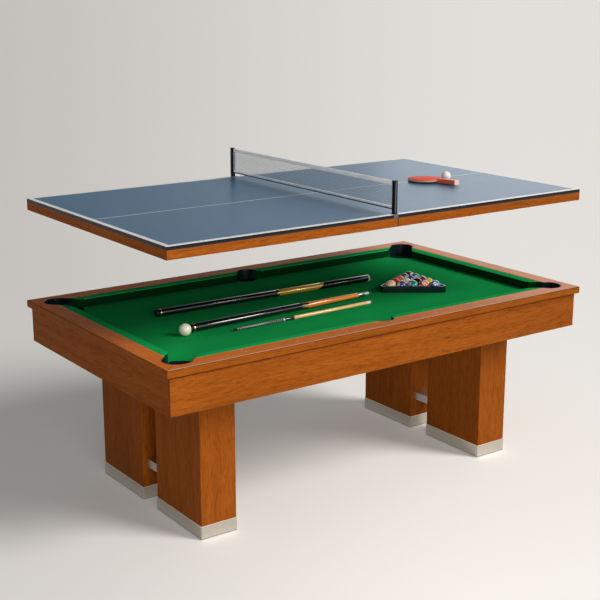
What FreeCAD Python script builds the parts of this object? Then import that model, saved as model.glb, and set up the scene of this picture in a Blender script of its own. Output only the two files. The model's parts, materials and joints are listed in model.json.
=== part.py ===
"""Pool table with a lift-off table tennis top, its cues, rack, balls and paddle.

Millimetres, +Z up. The origin lies on the floor under the middle of the table.
X runs along the table, and -Y is its front long side. The tennis top is shown
lifted off, straight above the table, and comes down to rest on the rails.
"""

import FreeCAD, Part
import math
import os

from FreeCAD import Vector

# ---- table outline and rails
table_length = 2140.0
table_width = 1230.0
table_height = 800.0
rail_width = 75.0
rail_edge = 32.0
rail_round = 5.0
sight_diameter = 6.0
sight_depth = 3.0
sight_from_edge = 37.0
sight_pitch = 237.0

# ---- playing surface and cushions
bed_drop = 40.0
cloth_thickness = 2.0
slab_thickness = 20.0
slab_clearance = 0.3
cushion_width = 48.0
cushion_below_rail = 1.0
nose_height = 32.0
nose_thickness = 3.0
cushion_foot_depth = 20.0
cushion_foot_height = 8.0
cushion_heel_height = 4.0

# ---- pockets
corner_pocket_radius = 61.0
corner_pocket_setback = 99.0
corner_facing_run = 52.0
side_pocket_radius = 48.0
side_pocket_setback = 101.0
side_facing_run = 14.0
liner_wall = 4.0
liner_clearance = 0.3
liner_below_rail = 0.3
liner_round = 1.2
pocket_depth = 160.0

# ---- aprons
apron_inset = 15.0
apron_thickness = 18.0
apron_height = 152.0
apron_round = 1.5
corner_block_side = 60.0
corner_block_height = 20.0
corner_block_lift = 1.0
cleat_size = 20.0
cleat_end_gap = 10.0

# ---- frame under the bed
beam_from_pocket = 36.0
beam_thickness = 38.0
beam_height = 78.0
cross_pitch = 350.0
leg_plate_thickness = 38.0

# ---- legs, shoes and stretchers
leg_from_end = 243.0
leg_pair_gap = 118.0
shoe_length = 166.0
shoe_height = 55.0
shoe_wall = 1.5
shoe_floor = 3.0
shoe_round = 1.2
leg_clearance = 0.15
leg_wall = 18.0
leg_top_block = 36.0
leg_round = 2.0
pad_thickness = 2.0
pad_inset = 12.0
stretcher_inset = 22.0
stretcher_bottom = 148.0
stretcher_height = 36.0
stretcher_wall = 2.0
stretcher_round = 1.5
stretcher_tenon = 12.0
stretcher_clearance = 0.2

# ---- bolts
rail_bolt_radius = 4.0
rail_bolt_head_radius = 7.5
rail_bolt_head_height = 5.0
rail_bolt_reach = 28.0
rail_bolt_from_inner_face = 12.0
rail_bolt_pitch = 300.0
leg_bolt_radius = 5.0
leg_bolt_head_radius = 9.0
leg_bolt_head_height = 6.0
leg_bolt_reach = 26.0
leg_bolt_spacing_x = 100.0
leg_bolt_spacing_y = 240.0
bolt_slack = 0.3
bolt_bite = 0.1
bolt_hole_extra_depth = 2.0

# ---- tennis top
top_length = 2100.0
top_width = 1200.0
top_surface_height = 1247.0
board_thickness = 15.0
board_round = 0.8
top_frame_depth = 35.0
top_bar_thickness = 20.0
top_batten_width = 30.0
top_batten_depth = 20.0
seam_gap = 0.3
dowel_radius = 6.0
dowel_length = 36.0
dowel_pitch = 400.0
dowel_fit = 0.05
dowel_running_clearance = 0.3

# ---- net
net_from_seam = 16.0
net_thickness = 1.6
net_above_board = 18.0
net_height = 115.0
net_end_clearance = 0.3
post_size = 16.0
post_height = 136.0
post_overhang = 2.0
post_round = 1.0
post_groove_width = 5.0
post_groove_depth = 1.5
bracket_thickness = 2.0
bracket_width = 23.0
bracket_from_seam = 1.0
bracket_edge_depth = 13.0
bracket_tab_depth = 24.0
spigot_size = 8.0
spigot_height = 40.0
spigot_clearance = 0.3

# ---- balls and rack
ball_diameter = 50.8
ball_spacing_gap = 0.2
loose_clearance = 0.3
ball_seat_clearance = 0.1
rack_rows = 5
rack_wall = 10.0
rack_height = 30.0
rack_ball_clearance = 0.5
rack_inner_round = 8.0
rack_edge_round = 2.0
rack_from_left_end = 1550.0
rack_from_front = 465.0
rack_heading = -35.0
cue_ball_from_left_end = 347.0
cue_ball_from_front = 467.0

# ---- cues: how far the thick end lies from the table's left end and front side,
# the heading in degrees, and the turned pieces from that end, each as
# (length, start radius, end radius)
cue_black_start = (387.0, 783.0)
cue_black_heading = -1.27
cue_black_pieces = (
    (18.0, 15.2, 15.8),
    (6.0, 16.4, 16.4),
    (586.0, 16.0, 15.6),
    (12.0, 16.2, 16.2),
    (228.0, 15.0, 15.6),
    (275.0, 15.8, 16.0),
    (8.0, 16.4, 16.4),
)
cue_spliced_start = (386.0, 495.0)
cue_spliced_heading = 2.15
cue_spliced_pieces = (
    (12.0, 16.2, 16.8),
    (8.0, 17.2, 17.2),
    (538.0, 17.0, 16.4),
    (332.0, 14.0, 10.2),
    (40.0, 8.4, 7.2),
    (22.0, 7.0, 6.6),
    (10.0, 6.6, 5.8),
)
cue_wrapped_start = (539.0, 405.0)
cue_wrapped_heading = 1.56
cue_wrapped_pieces = (
    (10.0, 4.0, 4.6),
    (238.0, 4.6, 5.6),
    (8.0, 6.8, 6.8),
    (42.0, 5.8, 6.2),
    (404.0, 8.2, 7.4),
    (24.0, 7.0, 6.6),
    (10.0, 6.6, 5.6),
)

# ---- paddle and tennis ball
paddle_from_right_end = 422.0
paddle_from_front = 560.0
paddle_heading = 192.0
blade_length = 157.0
blade_width = 150.0
blade_core = 6.0
rubber_thickness = 2.0
shoulder_width = 62.0
shoulder_length = 24.0
neck_width = 27.0
neck_length = 5.5
handle_length = 96.0
handle_width = 28.0
handle_flare = 34.0
handle_thickness = 22.0
handle_round = 6.0
tennis_ball_diameter = 44.0
tennis_ball_from_right_end = 335.0
tennis_ball_from_front = 512.0

# ---- heights and places that follow from the sizes above
half_length = table_length / 2
half_width = table_width / 2
rail_underside = table_height - rail_edge
cloth_top = table_height - bed_drop
slab_top = cloth_top - cloth_thickness
slab_bottom = slab_top - slab_thickness
apron_bottom = rail_underside - apron_height
apron_back = apron_inset + apron_thickness
liner_top = table_height - liner_below_rail
liner_bottom = table_height - pocket_depth
beam_bottom = slab_bottom - beam_height
leg_top = beam_bottom - leg_plate_thickness
leg_bottom = pad_thickness + shoe_floor
board_bottom = top_surface_height - board_thickness
top_underside = board_bottom - top_frame_depth
corner_overlap = corner_pocket_setback - rail_width
side_overlap = side_pocket_setback - rail_width
corner_wood_gap = math.sqrt(corner_pocket_radius**2 - corner_overlap**2)
side_wood_gap = math.sqrt(side_pocket_radius**2 - side_overlap**2)
ball_radius = ball_diameter / 2
beam_outer_face = half_width - corner_pocket_setback - corner_pocket_radius - beam_from_pocket
beam_offset = beam_outer_face - beam_thickness / 2
leg_outer_y = beam_outer_face
shoe_width = leg_outer_y - leg_pair_gap / 2
leg_middle_x = half_length - leg_from_end - shoe_length / 2
leg_middle_y = leg_outer_y - shoe_width / 2
leg_length = shoe_length - 2 * (shoe_wall + leg_clearance)
leg_width = shoe_width - 2 * (shoe_wall + leg_clearance)
handle_start = blade_length / 2 + neck_length

# Each side of the table is built as the front side, then turned into place:
# name, turn in degrees, length of the side, and how far out its outer face lies.
SIDES = (
    ("front", 0.0, table_length, half_width),
    ("right", 90.0, table_width, half_length),
    ("back", 180.0, table_length, half_width),
    ("left", -90.0, table_width, half_length),
)
LEGS = (
    ("front_left", -1, -1),
    ("front_right", 1, -1),
    ("back_left", -1, 1),
    ("back_right", 1, 1),
)
UP = Vector(0, 0, 1)


# ---- shared shape helpers
def block(x, y, z):
    """Box between the low and high values of x, y and z."""
    low = Vector(min(x), min(y), min(z))
    return Part.makeBox(abs(x[1] - x[0]), abs(y[1] - y[0]), abs(z[1] - z[0]), low)


def around(middle, size):
    """Low and high value of a size centred on middle."""
    return (middle - size / 2, middle + size / 2)


def disc(radius, x, y, z):
    """Upright cylinder at x, y between the two heights of z."""
    return Part.makeCylinder(radius, z[1] - z[0], Vector(x, y, z[0]))


def prism(outline, z):
    """Upright prism over an outline of (x, y) points, between two heights."""
    following = outline[1:] + outline[:1]
    area = sum(a[0] * b[1] - b[0] * a[1] for a, b in zip(outline, following))
    points = [Vector(x, y, z[0]) for x, y in (outline if area > 0 else outline[::-1])]
    face = Part.Face(Part.makePolygon(points + points[:1]))
    return face.extrude(Vector(0, 0, z[1] - z[0]))


def rounded(solid, radius, wanted):
    """Fillets the edges whose bounding boxes pass the wanted test."""
    return solid.makeFillet(radius, [e for e in solid.Edges if wanted(e.BoundBox)])


def near(a, b):
    return abs(a - b) < 1e-4


def vertical(box):
    """Whether an edge's bounding box is that of a vertical line."""
    return box.ZLength > 1e-4 and near(box.XLength, 0) and near(box.YLength, 0)


def turned(shape, degrees):
    """Copy turned about the vertical axis through the origin."""
    copy = shape.copy()
    copy.rotate(Vector(0, 0, 0), UP, degrees)
    return copy


def moved(shape, x, y, z=0.0):
    copy = shape.copy()
    copy.translate(Vector(x, y, z))
    return copy


# ---- rails
def corner_pockets(length, reach):
    """Places of the two corner pockets of a side built as the front side."""
    x = length / 2 - corner_pocket_setback
    y = corner_pocket_setback - reach
    return ((-x, y), (x, y))


def pocket_holes(length, reach, z, grow=0.0):
    """Cylinders at every pocket that a side touches."""
    holes = [disc(corner_pocket_radius + grow, x, y, z) for x, y in corner_pockets(length, reach)]
    if length == table_length:
        y = side_pocket_setback - reach
        holes.append(disc(side_pocket_radius + grow, 0, y, z))
    return holes


def mitred_strip(length, reach, outer, inner, z):
    """Mitred board of one side; outer and inner are its distances from the table's edge."""
    x_out = length / 2 - outer
    x_in = length / 2 - inner
    outline = [(-x_out, outer - reach), (x_out, outer - reach), (x_in, inner - reach), (-x_in, inner - reach)]
    return prism(outline, z)


def sight_places(length, reach):
    """Sights of one side, evenly spaced from its middle, none over a side pocket."""
    steps = (-3, -2, -1, 1, 2, 3) if length == table_length else (-1, 0, 1)
    return [(step * sight_pitch, sight_from_edge - reach) for step in steps]


def rail_bolt_places(length, reach):
    """Bolts of one side, evenly spaced and clear of the pockets."""
    steps = (-2.5, -1.5, -0.5, 0.5, 1.5, 2.5) if length == table_length else (-1, 0, 1)
    y = rail_width - rail_bolt_from_inner_face - reach
    return [(step * rail_bolt_pitch, y) for step in steps]


def rail(length, reach):
    """Cap that overhangs the apron, on a lower strip that stands on the slab."""
    cap = mitred_strip(length, reach, 0, rail_width, (rail_underside, table_height))
    cap = rounded(cap, rail_round, lambda box: near(box.YMax, -reach) and box.XLength > rail_width)
    strip = mitred_strip(length, reach, apron_back + slab_clearance, rail_width, (slab_top, rail_underside))
    body = cap.fuse(strip).removeSplitter()
    cuts = pocket_holes(length, reach, (slab_bottom, table_height + 1))
    for x, y in sight_places(length, reach):
        cuts.append(disc(sight_diameter / 2, x, y, (table_height - sight_depth, table_height + 1)))
    top = slab_top + rail_bolt_reach + bolt_hole_extra_depth
    for x, y in rail_bolt_places(length, reach):
        cuts.append(disc(rail_bolt_radius + bolt_bite, x, y, (slab_bottom, top)))
    return body.cut(cuts)


def rails():
    return {f"rail_{name}": turned(rail(length, reach), turn) for name, turn, length, reach in SIDES}


def sights():
    """Inlaid round sights, flush with the rail tops."""
    discs = []
    for _, turn, length, reach in SIDES:
        for x, y in sight_places(length, reach):
            sight = disc(sight_diameter / 2, x, y, (table_height - sight_depth, table_height))
            discs.append(turned(sight, turn))
    return {"rail_sights": discs}


def rail_bolts():
    """Bolts from under the slab up into the rails."""
    bolts = []
    for _, turn, length, reach in SIDES:
        for x, y in rail_bolt_places(length, reach):
            head = disc(rail_bolt_head_radius, x, y, (slab_bottom - rail_bolt_head_height, slab_bottom))
            shank = disc(rail_bolt_radius, x, y, (slab_bottom, slab_top + rail_bolt_reach))
            bolts.append(turned(head.fuse(shank), turn))
    return {"rail_bolts": bolts}


# ---- cushions
def cushion(reach, low, high):
    """Cushion between two ends, each given as (x at the rail, x at the nose)."""
    wood = rail_width - reach
    top = table_height - cushion_below_rail
    nose = cloth_top + nose_height
    section = [
        (0, top),
        (cushion_width, nose + nose_thickness / 2),
        (cushion_width, nose - nose_thickness / 2),
        (cushion_foot_depth, cloth_top + cushion_foot_height),
        (0, cloth_top + cushion_heel_height),
    ]
    points = [Vector(low[0], wood + depth, z) for depth, z in section]
    face = Part.Face(Part.makePolygon(points + points[:1]))
    bar = face.extrude(Vector(high[0] - low[0], 0, 0))
    front = wood + cushion_width
    outline = [(low[0], wood), (high[0], wood), (high[1], front), (low[1], front)]
    return bar.common(prism(outline, (slab_top, table_height)))


def cushions():
    """Two cushions on each long rail and one on each end rail."""
    made = {}
    for name, turn, length, reach in SIDES:
        wood_end = length / 2 - corner_pocket_setback - corner_wood_gap
        corner = (wood_end, wood_end - corner_facing_run)
        opposite = (-corner[0], -corner[1])
        holes = pocket_holes(length, reach, (slab_top, table_height), liner_clearance)
        if length == table_length:
            side = (side_wood_gap, side_wood_gap + side_facing_run)
            halves = {"left": (opposite, (-side[0], -side[1])), "right": (side, corner)}
            if name == "back":
                halves = {"left": halves["right"], "right": halves["left"]}
            for half, (low, high) in halves.items():
                made[f"cushion_{name}_{half}"] = turned(cushion(reach, low, high).cut(holes), turn)
        else:
            made[f"cushion_{name}_end"] = turned(cushion(reach, opposite, corner).cut(holes), turn)
    return made


# ---- bed
def bed():
    """Slab with its pocket notches, and the cloth stretched over it."""
    slab_x = half_length - apron_back - slab_clearance
    slab_y = half_width - apron_back - slab_clearance
    z = (slab_bottom - 1, cloth_top + 1)
    slab = block((-slab_x, slab_x), (-slab_y, slab_y), (slab_bottom, slab_top))
    cloth_x = half_length - rail_width
    cloth_y = half_width - rail_width
    cloth = block((-cloth_x, cloth_x), (-cloth_y, cloth_y), (slab_top, cloth_top))
    round_cuts = []
    notches = []
    for _, sx, sy in LEGS:
        x = sx * (half_length - corner_pocket_setback)
        y = sy * (half_width - corner_pocket_setback)
        round_cuts.append(disc(corner_pocket_radius, x, y, z))
        notches.append(block((x, sx * half_length), (y, sy * half_width), z))
    for sy in (-1, 1):
        y = sy * (half_width - side_pocket_setback)
        round_cuts.append(disc(side_pocket_radius, 0, y, z))
    bolt_holes = []
    for _, turn, length, reach in SIDES:
        for x, y in rail_bolt_places(length, reach):
            bolt_holes.append(turned(disc(rail_bolt_radius + bolt_slack, x, y, z), turn))
    return {
        "bed_slab": slab.cut(round_cuts + notches + bolt_holes),
        "bed_cloth": cloth.cut(round_cuts),
    }


# ---- pockets
def pocket_liner(radius, wall_end):
    """Cup about the origin whose wall stops at y = wall_end above the cloth."""
    outer = radius - liner_clearance
    cup = disc(outer, 0, 0, (liner_bottom, liner_top))
    cup = cup.cut(disc(outer - liner_wall, 0, 0, (liner_bottom + liner_wall, liner_top + 1)))
    cup = rounded(cup, liner_round, lambda box: near(box.ZMin, liner_top))
    throat = block((-radius, radius), (wall_end, radius), (cloth_top, liner_top + 1))
    return cup.cut(throat)


def pockets():
    corner_wall_end = (corner_wood_gap - corner_overlap) / math.sqrt(2)
    made = {}
    for name, sx, sy in LEGS:
        x = sx * (half_length - corner_pocket_setback)
        y = sy * (half_width - corner_pocket_setback)
        turn = 45.0 * sx if sy < 0 else 135.0 * sx
        liner = pocket_liner(corner_pocket_radius, corner_wall_end)
        made[f"pocket_{name}"] = moved(turned(liner, turn), x, y)
    for name, turn, sy in (("front_middle", 0.0, -1), ("back_middle", 180.0, 1)):
        y = sy * (half_width - side_pocket_setback)
        made[f"pocket_{name}"] = moved(turned(pocket_liner(side_pocket_radius, -side_overlap), turn), 0, y)
    return made


# ---- aprons with the blocks and cleats behind them
def aprons():
    made = {}
    blocks = []
    cleats = []
    for name, turn, length, reach in SIDES:
        board = mitred_strip(length, reach, apron_inset, apron_back, (apron_bottom, rail_underside))
        face = apron_inset - reach
        board = rounded(board, apron_round, lambda box: near(box.YMax, face) and near(box.ZMax, apron_bottom))
        made[f"apron_{name}"] = turned(board, turn)
        x = length / 2 - apron_back
        y = apron_back - reach
        outline = [(-x, y), (corner_block_side - x, y), (-x, y + corner_block_side)]
        low = apron_bottom + corner_block_lift
        blocks.append(turned(prism(outline, (low, low + corner_block_height)), turn))
        if length == table_length:
            near_end = side_pocket_radius + cleat_end_gap
            far_end = length / 2 - corner_pocket_setback - corner_pocket_radius - cleat_end_gap
            runs = ((-far_end, -near_end), (near_end, far_end))
        else:
            far_end = beam_offset - beam_thickness / 2 - cleat_end_gap
            runs = ((-far_end, far_end),)
        for run in runs:
            cleat = block(run, (y, y + cleat_size), (slab_bottom - cleat_size, slab_bottom))
            cleats.append(turned(cleat, turn))
    made["apron_corner_blocks"] = blocks
    made["bed_cleats"] = cleats
    return made


# ---- frame
def frame():
    """Two long beams, the cross members between them, and a plate over each pair of legs."""
    z = (beam_bottom, slab_bottom)
    reach = half_length - apron_back
    beams = [block((-reach, reach), around(side * beam_offset, beam_thickness), z) for side in (-1, 1)]
    inner = beam_offset - beam_thickness / 2
    crosses = [
        block(around(step * cross_pitch, beam_thickness), (-inner, inner), z) for step in (-1, 0, 1)
    ]
    made = {"frame_beams": beams, "frame_cross_members": crosses}
    holes = [
        disc(leg_bolt_radius + bolt_slack, x, y, (leg_top - 1, beam_bottom + 1)) for x, y in leg_bolt_places()
    ]
    for name, side in (("left", -1), ("right", 1)):
        x = around(side * leg_middle_x, shoe_length)
        plate = block(x, (-leg_outer_y, leg_outer_y), (leg_top, beam_bottom))
        made[f"leg_plate_{name}"] = plate.cut(holes)
    return made


def leg_bolt_places():
    places = []
    for _, sx, sy in LEGS:
        for x in around(sx * leg_middle_x, leg_bolt_spacing_x):
            for y in around(sy * leg_middle_y, leg_bolt_spacing_y):
                places.append((x, y))
    return places


def leg_bolts():
    """Bolts from above through the plates into the top blocks of the legs."""
    bolts = []
    for x, y in leg_bolt_places():
        head = disc(leg_bolt_head_radius, x, y, (beam_bottom, beam_bottom + leg_bolt_head_height))
        shank = disc(leg_bolt_radius, x, y, (leg_top - leg_bolt_reach, beam_bottom))
        bolts.append(head.fuse(shank))
    return {"leg_bolts": bolts}


# ---- legs
def stretcher_ranges():
    """Section of the stretcher, as its width and height ranges about the leg's middle."""
    width = shoe_length - 2 * stretcher_inset
    return around(0, width), (stretcher_bottom, stretcher_bottom + stretcher_height)


def leg(sx, sy):
    """Hollow box leg, closed by a block at its top, with a mortise facing its pair."""
    x = sx * leg_middle_x
    y = sy * leg_middle_y
    body = block(around(x, leg_length), around(y, leg_width), (leg_bottom, leg_top))
    body = rounded(body, leg_round, vertical)
    hollow = block(
        around(x, leg_length - 2 * leg_wall),
        around(y, leg_width - 2 * leg_wall),
        (leg_bottom - 1, leg_top - leg_top_block),
    )
    (x_low, x_high), (z_low, z_high) = stretcher_ranges()
    grow = stretcher_clearance
    face = y - sy * leg_width / 2
    mortise = block(
        (x + x_low - grow, x + x_high + grow),
        (face - sy, face + sy * (stretcher_tenon + grow)),
        (z_low - grow, z_high + grow),
    )
    z = (leg_top - leg_bolt_reach - bolt_hole_extra_depth, leg_top + 1)
    holes = [disc(leg_bolt_radius + bolt_bite, bx, by, z) for bx, by in leg_bolt_places()]
    return body.cut([hollow, mortise] + holes)


def shoe(sx, sy):
    """Steel shoe: a sleeve with a floor under the leg."""
    x = sx * leg_middle_x
    y = sy * leg_middle_y
    body = block(around(x, shoe_length), around(y, shoe_width), (pad_thickness, pad_thickness + shoe_height))
    body = rounded(body, shoe_round, vertical)
    inside = block(
        around(x, shoe_length - 2 * shoe_wall),
        around(y, shoe_width - 2 * shoe_wall),
        (leg_bottom, pad_thickness + shoe_height + 1),
    )
    return body.cut(inside)


def legs():
    made = {}
    pads = []
    for name, sx, sy in LEGS:
        made[f"leg_{name}"] = leg(sx, sy)
        made[f"shoe_{name}"] = shoe(sx, sy)
        x = around(sx * leg_middle_x, shoe_length - 2 * pad_inset)
        y = around(sy * leg_middle_y, shoe_width - 2 * pad_inset)
        pads.append(block(x, y, (0, pad_thickness)))
    made["foot_pads"] = pads
    return made


def stretchers():
    """Steel box tube between the two legs of each pair, its ends in their mortises."""
    reach = leg_middle_y - leg_width / 2 + stretcher_tenon
    made = {}
    for name, side in (("left", -1), ("right", 1)):
        (x_low, x_high), z = stretcher_ranges()
        x = (side * leg_middle_x + x_low, side * leg_middle_x + x_high)
        tube = block(x, (-reach, reach), z)
        tube = rounded(tube, stretcher_round, lambda box: near(box.YLength, 2 * reach))
        inside = block(
            (x[0] + stretcher_wall, x[1] - stretcher_wall),
            (-reach - 1, reach + 1),
            (z[0] + stretcher_wall, z[1] - stretcher_wall),
        )
        made[f"stretcher_{name}"] = tube.cut(inside)
    return made


# ---- tennis top
def half_top(side):
    """Board and frame bars of one half; side is -1 for the left half and 1 for the right."""
    seam = side * seam_gap / 2
    end = side * top_length / 2
    edge = top_width / 2
    board = block((seam, end), (-edge, edge), (board_bottom, top_surface_height))
    board = rounded(board, board_round, lambda box: near(box.ZMin, top_surface_height))
    z = (top_underside, board_bottom)
    inner_end = end - side * top_bar_thickness
    inner_edge = edge - top_bar_thickness
    bars = []
    for sy in (-1, 1):
        outline = [(seam, sy * edge), (end, sy * edge), (inner_end, sy * inner_edge), (seam, sy * inner_edge)]
        bars.append(prism(outline, z))
    bars.append(prism([(end, -edge), (end, edge), (inner_end, inner_edge), (inner_end, -inner_edge)], z))
    fit = dowel_fit if side < 0 else dowel_running_clearance
    seam_bar = block((seam, seam + side * top_bar_thickness), (-inner_edge, inner_edge), z)
    bars.append(seam_bar.cut(dowel_rods(dowel_radius + fit, top_bar_thickness * 2)))
    batten_z = (board_bottom - top_batten_depth, board_bottom)
    bars.append(block(around((seam + end) / 2, top_batten_width), (-inner_edge, inner_edge), batten_z))
    return board, bars


def dowel_rods(radius, length):
    """Rods across the seam, at the middle depth of the frame bars."""
    z = (top_underside + board_bottom) / 2
    return [
        Part.makeCylinder(radius, length, Vector(-length / 2, step * dowel_pitch, z), Vector(1, 0, 0))
        for step in (-1, 0, 1)
    ]


def tennis_top():
    left_board, left_bars = half_top(-1)
    right_board, right_bars = half_top(1)
    return {
        "top_board_left": left_board,
        "top_board_right": right_board,
        "top_frame_left": left_bars,
        "top_frame_right": right_bars,
        "top_dowels": dowel_rods(dowel_radius, dowel_length),
    }


# ---- net
def net_bracket():
    """Bracket of the front edge: edge plate, tab on the board, and the spigot for the post."""
    edge = -top_width / 2
    x = (-bracket_from_seam - bracket_width, -bracket_from_seam)
    outer = edge - bracket_thickness
    top = top_surface_height + bracket_thickness
    plate = block(x, (outer, edge), (top_surface_height - bracket_edge_depth, top))
    tab = block(x, (outer, outer + bracket_tab_depth), (top_surface_height, top))
    spigot = block(
        around(-net_from_seam, spigot_size),
        around(post_middle(), spigot_size),
        (top_surface_height, top + spigot_height),
    )
    return plate.fuse([tab, spigot]).removeSplitter()


def post_middle():
    """Distance of the front post's middle along Y."""
    return (post_size - top_width) / 2 - post_overhang


def net_post():
    """Front post: a square tube over the spigot, with a groove down its outer face."""
    x = around(-net_from_seam, post_size)
    y = around(post_middle(), post_size)
    low = top_surface_height + bracket_thickness + spigot_clearance
    high = top_surface_height + post_height
    body = block(x, y, (low, high))
    body = rounded(body, post_round, vertical)
    bore = spigot_size + 2 * spigot_clearance
    hole = block(
        around(-net_from_seam, bore),
        around(post_middle(), bore),
        (low - 1, low + spigot_height),
    )
    groove = block(
        around(-net_from_seam, post_groove_width),
        (y[0] - 1, y[0] + post_groove_depth),
        (low + post_groove_width, high - post_groove_width),
    )
    return body.cut([hole, groove])


def mirrored_y(shape):
    return shape.mirror(Vector(0, 0, 0), Vector(0, 1, 0))


def net():
    reach = -post_middle() - post_size / 2 - net_end_clearance
    low = top_surface_height + net_above_board
    band = block(around(-net_from_seam, net_thickness), (-reach, reach), (low, low + net_height))
    return {
        "net_brackets": [net_bracket(), mirrored_y(net_bracket())],
        "net_post_front": net_post(),
        "net_post_back": mirrored_y(net_post()),
        "net": band,
    }


# ---- balls and rack
def ball(diameter, x, y, surface, clearance):
    return Part.makeSphere(diameter / 2, Vector(x, y, surface + clearance + diameter / 2))


def on_rack(shape):
    """Places a shape drawn with the rack's base along X at y = 0 and its apex towards +Y."""
    x = rack_from_left_end - half_length
    y = rack_from_front - half_width
    return moved(turned(shape, rack_heading), x, y)


def rack_triangle(side, base, corner_round, z):
    """Rounded upright triangle with its base at y = base."""
    outline = [(-side / 2, base), (side / 2, base), (0, base + side * math.sqrt(3) / 2)]
    return rounded(prism(outline, z), corner_round, vertical)


def rack():
    pitch = ball_diameter + ball_spacing_gap
    seat = ball_radius + rack_ball_clearance
    inner_side = (rack_rows - 1) * pitch + 2 * seat * math.sqrt(3)
    outer_side = inner_side + 2 * rack_wall * math.sqrt(3)
    low = cloth_top + loose_clearance
    high = low + rack_height
    outer = rack_triangle(outer_side, 0, rack_inner_round + rack_wall, (low, high))
    outer = rounded(outer, rack_edge_round, lambda box: near(box.ZMin, high))
    inner = rack_triangle(inner_side, rack_wall, rack_inner_round, (low - 1, high + 1))
    balls = []
    for row in range(rack_rows):
        y = rack_wall + seat + row * pitch * math.sqrt(3) / 2
        count = rack_rows - row
        for place in range(count):
            x = (place - (count - 1) / 2) * pitch
            balls.append(on_rack(ball(ball_diameter, x, y, cloth_top, ball_seat_clearance)))
    cue_x = cue_ball_from_left_end - half_length
    cue_y = cue_ball_from_front - half_width
    return {
        "rack": on_rack(outer.cut(inner)),
        "object_balls": balls,
        "cue_ball": ball(ball_diameter, cue_x, cue_y, cloth_top, loose_clearance),
    }


# ---- cues
def cue(start, heading, pieces):
    """Turned pieces end to end on a level axis, lying on the cloth on the thickest of them."""
    height = cloth_top + loose_clearance + max(max(a, b) for _, a, b in pieces)
    made = []
    along = 0.0
    for length, first, last in pieces:
        points = [Vector(along, 0, 0), Vector(along + length, 0, 0)]
        points += [Vector(along + length, 0, last), Vector(along, 0, first)]
        face = Part.Face(Part.makePolygon(points + points[:1]))
        piece = face.revolve(Vector(0, 0, 0), Vector(1, 0, 0), 360)
        made.append(moved(turned(piece, heading), start[0] - half_length, start[1] - half_width, height))
        along += length
    return made


def cues():
    return {
        "cue_black": cue(cue_black_start, cue_black_heading, cue_black_pieces),
        "cue_spliced": cue(cue_spliced_start, cue_spliced_heading, cue_spliced_pieces),
        "cue_wrapped": cue(cue_wrapped_start, cue_wrapped_heading, cue_wrapped_pieces),
    }


# ---- paddle
def blade_layer(z):
    """Blade outline between two heights, its handle side towards +Y."""
    stretch = FreeCAD.Matrix()
    stretch.scale(blade_width / blade_length, 1, 1)
    oval = disc(blade_length / 2, 0, 0, z).transformGeometry(stretch)
    start = blade_length / 2 - shoulder_length
    outline = [
        (-shoulder_width / 2, start),
        (shoulder_width / 2, start),
        (neck_width / 2, handle_start),
        (-neck_width / 2, handle_start),
    ]
    return oval.fuse(prism(outline, z)).removeSplitter()


def paddle():
    """Ply blade with a rubber on each face, and its flared handle, leaning on the handle's end."""
    core_z = around(0, blade_core)
    core = blade_layer(core_z)
    upper = blade_layer((core_z[1], core_z[1] + rubber_thickness))
    lower = blade_layer((core_z[0] - rubber_thickness, core_z[0]))
    end = handle_start + handle_length
    outline = [
        (-handle_width / 2, handle_start),
        (handle_width / 2, handle_start),
        (handle_flare / 2, end),
        (-handle_flare / 2, end),
    ]
    handle = prism(outline, around(0, handle_thickness))
    handle = rounded(handle, handle_round, lambda box: box.YLength > handle_length / 2)
    drop = handle_thickness / 2 - blade_core / 2 - rubber_thickness
    lean = math.degrees(math.atan2(drop, end + blade_length / 2))
    solids = [core, upper, lower, handle]
    for solid in solids:
        solid.rotate(Vector(0, 0, 0), Vector(1, 0, 0), lean)
    lowest = min(solid.BoundBox.ZMin for solid in solids)
    height = top_surface_height + loose_clearance - lowest
    x = top_length / 2 - paddle_from_right_end
    y = paddle_from_front - top_width / 2
    placed = [moved(turned(solid, paddle_heading), x, y, height) for solid in solids]
    x = top_length / 2 - tennis_ball_from_right_end
    y = tennis_ball_from_front - top_width / 2
    tennis_ball = ball(tennis_ball_diameter, x, y, top_surface_height, loose_clearance)
    return {
        "paddle_blade": placed[:3],
        "paddle_handle": placed[3],
        "tennis_ball": tennis_ball,
    }


# ---- output
def export(name, shape):
    """Writes one node; a list of solids becomes one group of separate solids."""
    solid = Part.makeCompound(shape) if isinstance(shape, list) else shape
    solid.exportStep(f"parts/{name}.step")


def main():
    os.makedirs("parts", exist_ok=True)
    sections = (
        rails,
        sights,
        rail_bolts,
        cushions,
        bed,
        pockets,
        aprons,
        frame,
        leg_bolts,
        legs,
        stretchers,
        tennis_top,
        net,
        rack,
        cues,
        paddle,
    )
    nodes = {}
    for section in sections:
        nodes.update(section())
    for name, shape in nodes.items():
        export(name, shape)
    print(len(nodes), "nodes")


main()
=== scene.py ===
"""Looks of a pool table with a lift-off table tennis top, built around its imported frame.

Metres, +Z up. X runs along the table and -Y is its front long side. The add-on's
operators each build one group of pieces; main() calls them in order.
"""

import json
import math
import random

import bmesh
import bpy
from bpy.props import FloatProperty, FloatVectorProperty, IntProperty, PointerProperty
from mathutils import Matrix, Vector

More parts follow.
